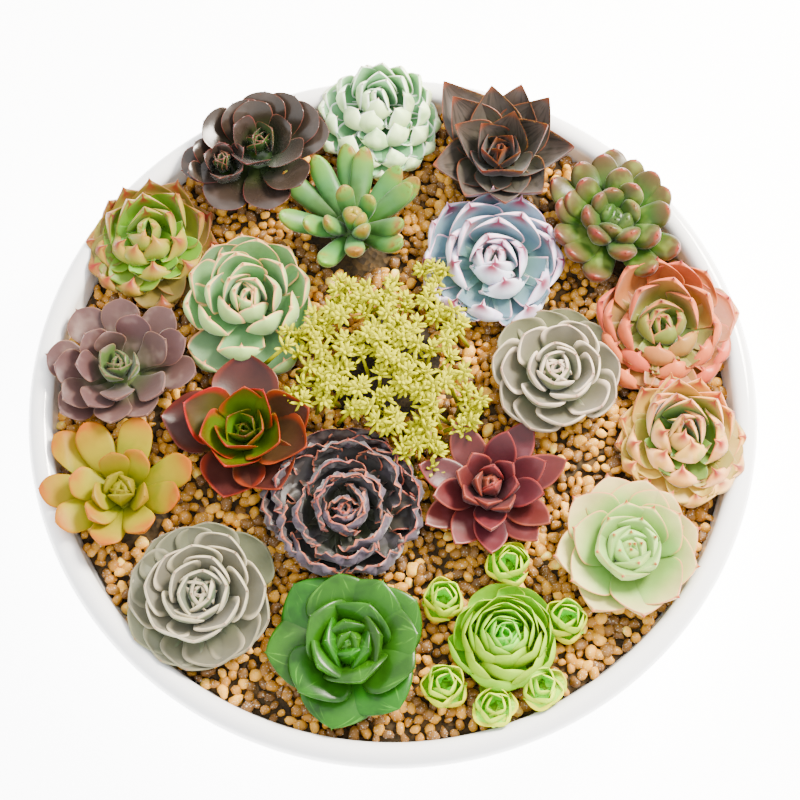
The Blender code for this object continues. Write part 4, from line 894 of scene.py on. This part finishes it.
def grow(shell, plant, heart, crown_radius, leaves, rng):
    """A crown, and leaves from the heart outward, each at its own place."""
    stem_and_crown(shell, heart, plant["heights"][0], crown_radius)
    widest = max(reach for reach, _ in leaves)
    for reach, azimuth in sorted(leaves):
        shell.add(*leaf(plant, heart, azimuth, reach, reach / widest, rng))


def make_plant(name, plant, material, rng):
    """A plant: its crown, its rings of leaves and the buds that close its heart; one has a side head too."""
    shell = Shell()
    for head in [plant, SIDE_HEAD] if name == "brown" else [plant]:
        leaves = [(reach, azimuth) for reach, *azimuths in head["rings"] for azimuth in azimuths]
        leaves += [(BUD_REACH, rng.uniform(0, BUD_TURN) + 360 / BUD_LEAVES * i) for i in range(BUD_LEAVES)]
        grow(shell, head, head["heart"], CROWN_SHARE * head["rings"][0][0], leaves, rng)
    return shell.build(name + "_plant", material)


def make_offset(index, heart, radius, material, rng):
    """A small rosebud, whose leaves grow in a spiral."""
    leaves = [(radius * math.sqrt((i + 1) / OFFSET_LEAVES), OFFSET_TURN * index + GOLDEN_ANGLE * i)
              for i in range(OFFSET_LEAVES)]
    shell = Shell()
    grow(shell, OFFSET, heart, OFFSET_CROWN, leaves, rng)
    return shell.build("offset_%d_bud" % index, material)


def wall_radius(height):
    """Radius of the bowl's inner wall at a height over the foot."""
    share = max(0.0, min(1.0, (height - FLOOR_TOP) / (RIM_HEIGHT - RIM_ROUND - FLOOR_TOP)))
    narrow = FOOT_RADIUS - FOOT_WIDTH / 2
    return narrow + (RIM_RADIUS - 2 * RIM_ROUND - narrow) * math.sin(share * math.pi / 2) ** WALL_CURVE


def make_bowl():
    """The glazed shell: foot ring, curved wall, round rim, and the inner wall down to the floor."""
    rim = [(RIM_RADIUS - RIM_ROUND + RIM_ROUND * math.cos(a),
            RIM_HEIGHT - RIM_ROUND + RIM_ROUND * math.sin(a)) for a in np.linspace(0, math.pi, RIM_RINGS)]
    outer = [(wall_radius(h + WALL_DROP) + WALL, h) for h in np.linspace(*OUTER_WALL, OUTER_RINGS)]
    inner = [(wall_radius(h), h) for h in np.linspace(INNER_WALL_TOP, FLOOR_TOP, INNER_RINGS)]
    inside = FOOT_RADIUS - FOOT_WIDTH
    edge, edge_height = FOOT_EDGE
    spread, spread_height = FOOT_SPREAD
    foot = [(0, FOOT_RECESS), (inside - FOOT_COVE, FOOT_RECESS), (inside, edge_height), (inside + edge, 0),
            (FOOT_RADIUS - edge, 0), (FOOT_RADIUS, edge_height), (FOOT_RADIUS + spread, spread_height)]
    shell = Shell()
    shell.add(lathe_points(foot + outer + rim + inner + [(0, FLOOR_TOP)], BOWL_AROUND))
    return shell.build("glazed_bowl", material_of("white_glaze", white_glaze), marked=False)


def make_soil(rng):
    """The filling, whose crumbly top shows between the pebbles and as a mound under the sedum."""
    profile = [(0.0, FLOOR_TOP + SOIL_CLEAR), (SOIL_FLOOR_RADIUS, FLOOR_TOP + SOIL_CLEAR)]
    profile += [(wall_radius(h) - SOIL_CLEAR, h)
                for h in np.linspace(SOIL_SIDE_FROM, SOIL_TOP, SOIL_SIDE_RINGS)]
    top_from = len(profile)
    widest = wall_radius(SOIL_TOP) - SOIL_TOP_EDGE
    profile += [(r, SOIL_TOP) for r in (*np.linspace(widest, SOIL_TOP_MIDDLE, SOIL_TOP_RINGS), 0)]
    rings = lathe_points(profile, SOIL_AROUND)
    top = rings[top_from:]
    for _ in range(SOIL_WAVES):
        pitch, heading, phase = (rng.uniform(*span) for span in SOIL_WAVE_SPANS)
        travel = top[..., 0] * math.cos(heading) + top[..., 1] * math.sin(heading)
        top[..., 2] += SOIL_WAVE_HEIGHT * np.sin(pitch * travel + phase) / math.sqrt(pitch + 0.3)
    away = np.hypot(top[..., 0] - SEDUM_MIDDLE[0], top[..., 1] - SEDUM_MIDDLE[1])
    top[..., 2] += (MOUND_TOP - SOIL_TOP) * np.clip((MOUND_RADIUS + MOUND_EDGE - away) / MOUND_EDGE, 0, 1)
    rings[-1] = rings[-1].mean(axis=0)
    shell = Shell()
    shell.add(rings)
    return shell.build("dark_soil", material_of("potting_soil", potting_soil), marked=False)


def from_rule(name, rule, settings, material, seeds):
    """A mesh that a Geometry Nodes rule grows on seed points; its named inputs are sizes and counts."""
    tree = bpy.data.node_groups.new(name + "_rule", "GeometryNodeTree")
    tree.is_modifier = True
    tree.interface.new_socket("Geometry", in_out="INPUT", socket_type="NodeSocketGeometry")
    sockets = {}
    for label, value in settings.items():
        kind = "NodeSocketFloat" if isinstance(value, float) else "NodeSocketInt"
        sockets[label] = tree.interface.new_socket(label, in_out="INPUT", socket_type=kind)
    tree.interface.new_socket("Geometry", in_out="OUTPUT", socket_type="NodeSocketGeometry")
    shape = rule(tree, node(tree, "NodeGroupInput").node.outputs)
    shape = node(tree, "GeometryNodeRealizeInstances", {0: shape})
    shape = node(tree, "GeometryNodeSetShadeSmooth", {0: shape})
    shape = node(tree, "GeometryNodeSetMaterial", {0: shape, "Material": material})
    node(tree, "NodeGroupOutput", {0: shape})

    holder = placed(name + "_holder", seeds)
    modifier = holder.modifiers.new(name, "NODES")
    modifier.node_group = tree
    for label, value in settings.items():
        modifier[sockets[label].identifier] = value * MM if isinstance(value, float) else value
    graph = bpy.context.evaluated_depsgraph_get()
    mesh = bpy.data.meshes.new_from_object(
        holder.evaluated_get(graph), preserve_all_data_layers=True, depsgraph=graph)
    holder.modifiers.remove(modifier)
    bpy.data.objects.remove(holder)
    return placed(name, mesh)


def pebble_rule(tree, given):
    """Pebbles of mixed size at even random places, each turned, flattened and dented on its own."""
    disc = node(
        tree, "GeometryNodeMeshCircle", {"Vertices": PEBBLED_AROUND, "Radius": given["Radius"]},
        fill_type="TRIANGLE_FAN")
    places = node(tree, "GeometryNodeDistributePointsOnFaces", {
        "Mesh": disc, "Distance Min": given["Spacing"], "Density Max": 1e6, "Seed": given["Seed"]},
        distribute_method="POISSON")
    position = node(tree, "GeometryNodeInputPosition")
    middle = (SEDUM_MIDDLE[0] * MM, SEDUM_MIDDLE[1] * MM, 0)
    away = node(tree, "ShaderNodeVectorMath", {0: position, 1: middle}, out="Value", operation="DISTANCE")
    near_heart = node(tree, "GeometryNodeProximity", {"Geometry": given["Geometry"]}, out="Distance",
                      target_element="POINTS")
    unseen = [
        node(tree, "FunctionNodeCompare", {0: distance, 1: least}, data_type="FLOAT", operation="LESS_THAN")
        for distance, least in ((away, given["Bare radius"]), (near_heart, given["Heart shade"]))]
    for hidden in unseen:
        places = node(tree, "GeometryNodeDeleteGeometry", {"Geometry": places, "Selection": hidden})
    rise, size = (
        node(tree, "FunctionNodeRandomValue", {2: given[least], 3: given[most], "Seed": seed}, out=1,
             data_type="FLOAT")
        for least, most, seed in (("Lowest", "Highest", 3), ("Smallest", "Largest", 7)))
    level = node(tree, "ShaderNodeMath", {0: rise, 1: given["Level"]})
    lifted = node(tree, "ShaderNodeCombineXYZ", {2: level})
    places = node(tree, "GeometryNodeSetPosition", {"Geometry": places, "Offset": lifted})
    stone = node(tree, "GeometryNodeMeshIcoSphere", {"Radius": 1.0, "Subdivisions": 2})
    turn, shape = (
        node(tree, "FunctionNodeRandomValue", {0: least, 1: most, "Seed": seed}, data_type="FLOAT_VECTOR")
        for (least, most), seed in ((PEBBLE_TURNS, 5), (PEBBLE_SHAPES, 9)))
    scale = node(tree, "ShaderNodeVectorMath", {0: shape, "Scale": size}, operation="SCALE")
    stones = node(tree, "GeometryNodeInstanceOnPoints", {
        "Points": places, "Instance": stone, "Rotation": turn, "Scale": scale})
    tone = node(tree, "FunctionNodeRandomValue", {"Seed": 11}, out=1, data_type="FLOAT")
    stones = node(
        tree, "GeometryNodeStoreNamedAttribute", {"Geometry": stones, "Name": "tone", "Value": tone},
        data_type="FLOAT", domain="INSTANCE")
    stones = node(tree, "GeometryNodeRealizeInstances", {0: stones})
    dent = node(tree, "ShaderNodeTexNoise", {"Vector": position, "Scale": DENTS_PER_M, "Detail": 1.0})
    inward = node(tree, "ShaderNodeMath", {0: given["Dent"], 1: -1.0}, operation="MULTIPLY")
    depth = node(tree, "ShaderNodeMapRange", {0: dent, 1: 0.25, 2: 0.75, 3: inward, 4: given["Dent"]})
    normal = node(tree, "GeometryNodeInputNormal")
    push = node(tree, "ShaderNodeVectorMath", {0: normal, "Scale": depth}, operation="SCALE")
    return node(tree, "GeometryNodeSetPosition", {"Geometry": stones, "Offset": push})


def sedum_rule(tree, given):
    """On each seed point a sprig: needles round a short stem, each turned on by the golden angle."""
    lowest, sunk = (
        node(tree, "ShaderNodeMath", {0: given[label], 1: -1.0}, operation="MULTIPLY")
        for label in ("Sprig length", "Stalk length"))
    start, step, stalk_place = (
        node(tree, "ShaderNodeCombineXYZ", {2: height})
        for height in (lowest, given["Needle spacing"], sunk))
    spine = node(tree, "GeometryNodeMeshLine", {
        "Count": given["Needles"], "Start Location": start, "Offset": step})
    index = node(tree, "GeometryNodeInputIndex")
    turn = node(tree, "ShaderNodeMath", {0: index, 1: math.radians(GOLDEN_ANGLE)}, operation="MULTIPLY")
    share = node(tree, "ShaderNodeMath", {0: index, 1: given["Needles"]}, operation="DIVIDE")
    lean = node(tree, "ShaderNodeMapRange", {0: share, 3: NEEDLE_LEAN[0], 4: NEEDLE_LEAN[1]})
    angles = node(tree, "ShaderNodeCombineXYZ", {1: lean, 2: turn})
    needle = node(tree, "GeometryNodeMeshIcoSphere", {"Radius": 1.0, "Subdivisions": 1})
    needle = node(tree, "GeometryNodeTransform", {"Geometry": needle, "Translation": (0, 0, 0.9)})
    length = node(tree, "ShaderNodeMapRange", {0: share, 3: 1.0, 4: 0.6})
    long, thin = (
        node(tree, "ShaderNodeMath", {0: given[label], 1: factor}, operation="MULTIPLY")
        for label, factor in (("Needle length", length), ("Needle radius", 0.5)))
    size = node(tree, "ShaderNodeCombineXYZ", {0: thin, 1: given["Needle radius"], 2: long})
    sprig = node(tree, "GeometryNodeInstanceOnPoints", {
        "Points": spine, "Instance": needle, "Rotation": angles, "Scale": size})
    stalk = node(tree, "GeometryNodeMeshCone", {
        "Vertices": 6, "Radius Top": given["Stalk top"], "Radius Bottom": given["Stalk foot"],
        "Depth": given["Stalk length"]})
    stalk = node(tree, "GeometryNodeTransform", {"Geometry": stalk, "Translation": stalk_place})
    whole = node(tree, "GeometryNodeJoinGeometry")
    for part in (sprig, stalk):
        tree.links.new(part, whole.node.inputs[0])
    heading = node(tree, "GeometryNodeInputNamedAttribute", {"Name": "lean"}, data_type="FLOAT_VECTOR")
    return node(tree, "GeometryNodeInstanceOnPoints", {
        "Points": given["Geometry"], "Instance": whole, "Rotation": heading})


def around(place, distance, angle):
    """The place at a distance and heading from another."""
    return place[0] + distance * math.cos(angle), place[1] + distance * math.sin(angle)


def leaning(angle, tilt, rng):
    """Rotation that leans a sprig over to a heading, with a random turn on its own axis."""
    return -math.sin(angle) * tilt, math.cos(angle) * tilt, rng.uniform(0, 6)


def make_sedum(rng):
    """Sprigs on a low dome, each with smaller ones round it."""
    heads, leans = [], []
    for reach, *azimuths in SEDUM_SPRIGS:
        for azimuth in azimuths:
            angle = math.radians(azimuth)
            share = reach / SEDUM_SPRIGS[-1][0]
            height = GRAVEL_LEVEL + between(SPRIG_HEIGHTS, share**SPRIG_FALL)
            heads.append((*around(SEDUM_MIDDLE, reach, angle), height))
            leans.append(leaning(angle, SPRIG_LEAN + SPRIG_LEAN_OUT * share, rng))
            for i in range(SIDE_SPRIGS):
                onward = SIDE_INNER_TURN * i if share < SIDE_INNER else SIDE_OUTER_TURN + i
                turn = angle + onward + rng.uniform(0, SIDE_TURN_SPREAD)
                beside = around(heads[-1 - i], rng.uniform(*SIDE_AWAY), turn)
                heads.append((*beside, height - rng.uniform(*SIDE_LOWER)))
                leans.append(leaning(turn, SIDE_LEAN, rng))
    seeds = bpy.data.meshes.new("sprig_places")
    seeds.from_pydata([tuple(c * MM for c in head) for head in heads], [], [])
    layer = seeds.attributes.new("lean", "FLOAT_VECTOR", "POINT")
    layer.data.foreach_set("vector", np.array(leans, np.float32).ravel())
    top, foot = STALK_RADII
    return from_rule("yellow_sedum", sedum_rule, {
        "Needles": SPRIG_NEEDLES, "Needle radius": NEEDLE_RADIUS, "Needle length": NEEDLE_LENGTH,
        "Needle spacing": SPRIG_LENGTH / SPRIG_NEEDLES, "Sprig length": SPRIG_LENGTH,
        "Stalk length": STALK, "Stalk top": top, "Stalk foot": foot},
        material_of("yellow_needles", yellow_needles), seeds)


def make_pebbles():
    """One layer of loose stones, left out under the hearts of the plants and on the sedum's mound."""
    hearts = bpy.data.meshes.new("hearts")
    places = [(x * MM, y * MM, 0) for x, y in (plant["heart"] for plant in PLANTS.values())]
    hearts.from_pydata(places, [], [])
    smallest, largest = PEBBLE_SIZES
    lowest, highest = PEBBLE_RISE
    return from_rule("tan_pebbles", pebble_rule, {
        "Radius": PEBBLED_RADIUS, "Spacing": PEBBLE_SPACING, "Bare radius": MOUND_RADIUS,
        "Heart shade": HEART_SHADE, "Level": PEBBLE_MIDDLE, "Lowest": lowest, "Highest": highest,
        "Smallest": smallest, "Largest": largest, "Dent": PEBBLE_DENT, "Seed": 4},
        material_of("tan_pebbles", river_gravel), hearts)


def skin_of(name):
    """The leaf skin of one plant."""
    return material_of(name + "_skin", lambda tree: leaf_skin(tree, LOOKS[name]))


def take_place(piece, cad_node):
    """The piece takes its CAD node's place, with its finish."""
    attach(piece, "root")
    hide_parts(cad_node)


def aimed(name, data, place, aim):
    """A light or camera at a place, turned to look at its aim."""
    made = placed(name, data)
    made.location = Vector(place) * MM
    made.rotation_euler = (Vector(place) - Vector(aim)).to_track_quat("Z", "Y").to_euler()
    return made


rng = np.random.default_rng(21)
take_place(make_bowl(), "bowl")
take_place(make_soil(rng), "soil")
take_place(make_pebbles(), "gravel")
for name, plant in PLANTS.items():
    take_place(make_plant(name, plant, skin_of(name), rng), name)
bud_skin = skin_of("offset")
for index, (heart, radius) in enumerate(OFFSETS, 1):
    take_place(make_offset(index, heart, radius, bud_skin, rng), "offset_%d" % index)
take_place(make_sedum(rng), "sedum")

paper = Shell()
paper.add(lathe_points([(PAPER_RADIUS, 0), (0, 0)], PAPER_AROUND))
floor = paper.build("paper_floor", material_of("white_paper", white_paper), marked=False)

world = bpy.data.worlds.new("soft_room")
bpy.context.scene.world = world
world.use_nodes = True
room = world.node_tree.nodes["Background"]
room.inputs["Color"].default_value = linear("ffffff")
room.inputs["Strength"].default_value = ROOM_LIGHT

lamp = bpy.data.lights.new("window", "AREA")
lamp.shape = "DISK"
lamp.size = WINDOW_SIZE * MM
lamp.energy = WINDOW_POWER
lamp.color = linear("fff4e4")[:3]
aimed("window", lamp, WINDOW_PLACE, WINDOW_AIM)

lens = bpy.data.cameras.new("camera")
lens.lens = CAMERA_LENS
lens.sensor_width = CAMERA_SENSOR
lens.clip_start = CAMERA_NEAR
bpy.context.scene.camera = aimed("camera", lens, CAMERA_PLACE, CAMERA_AIM)
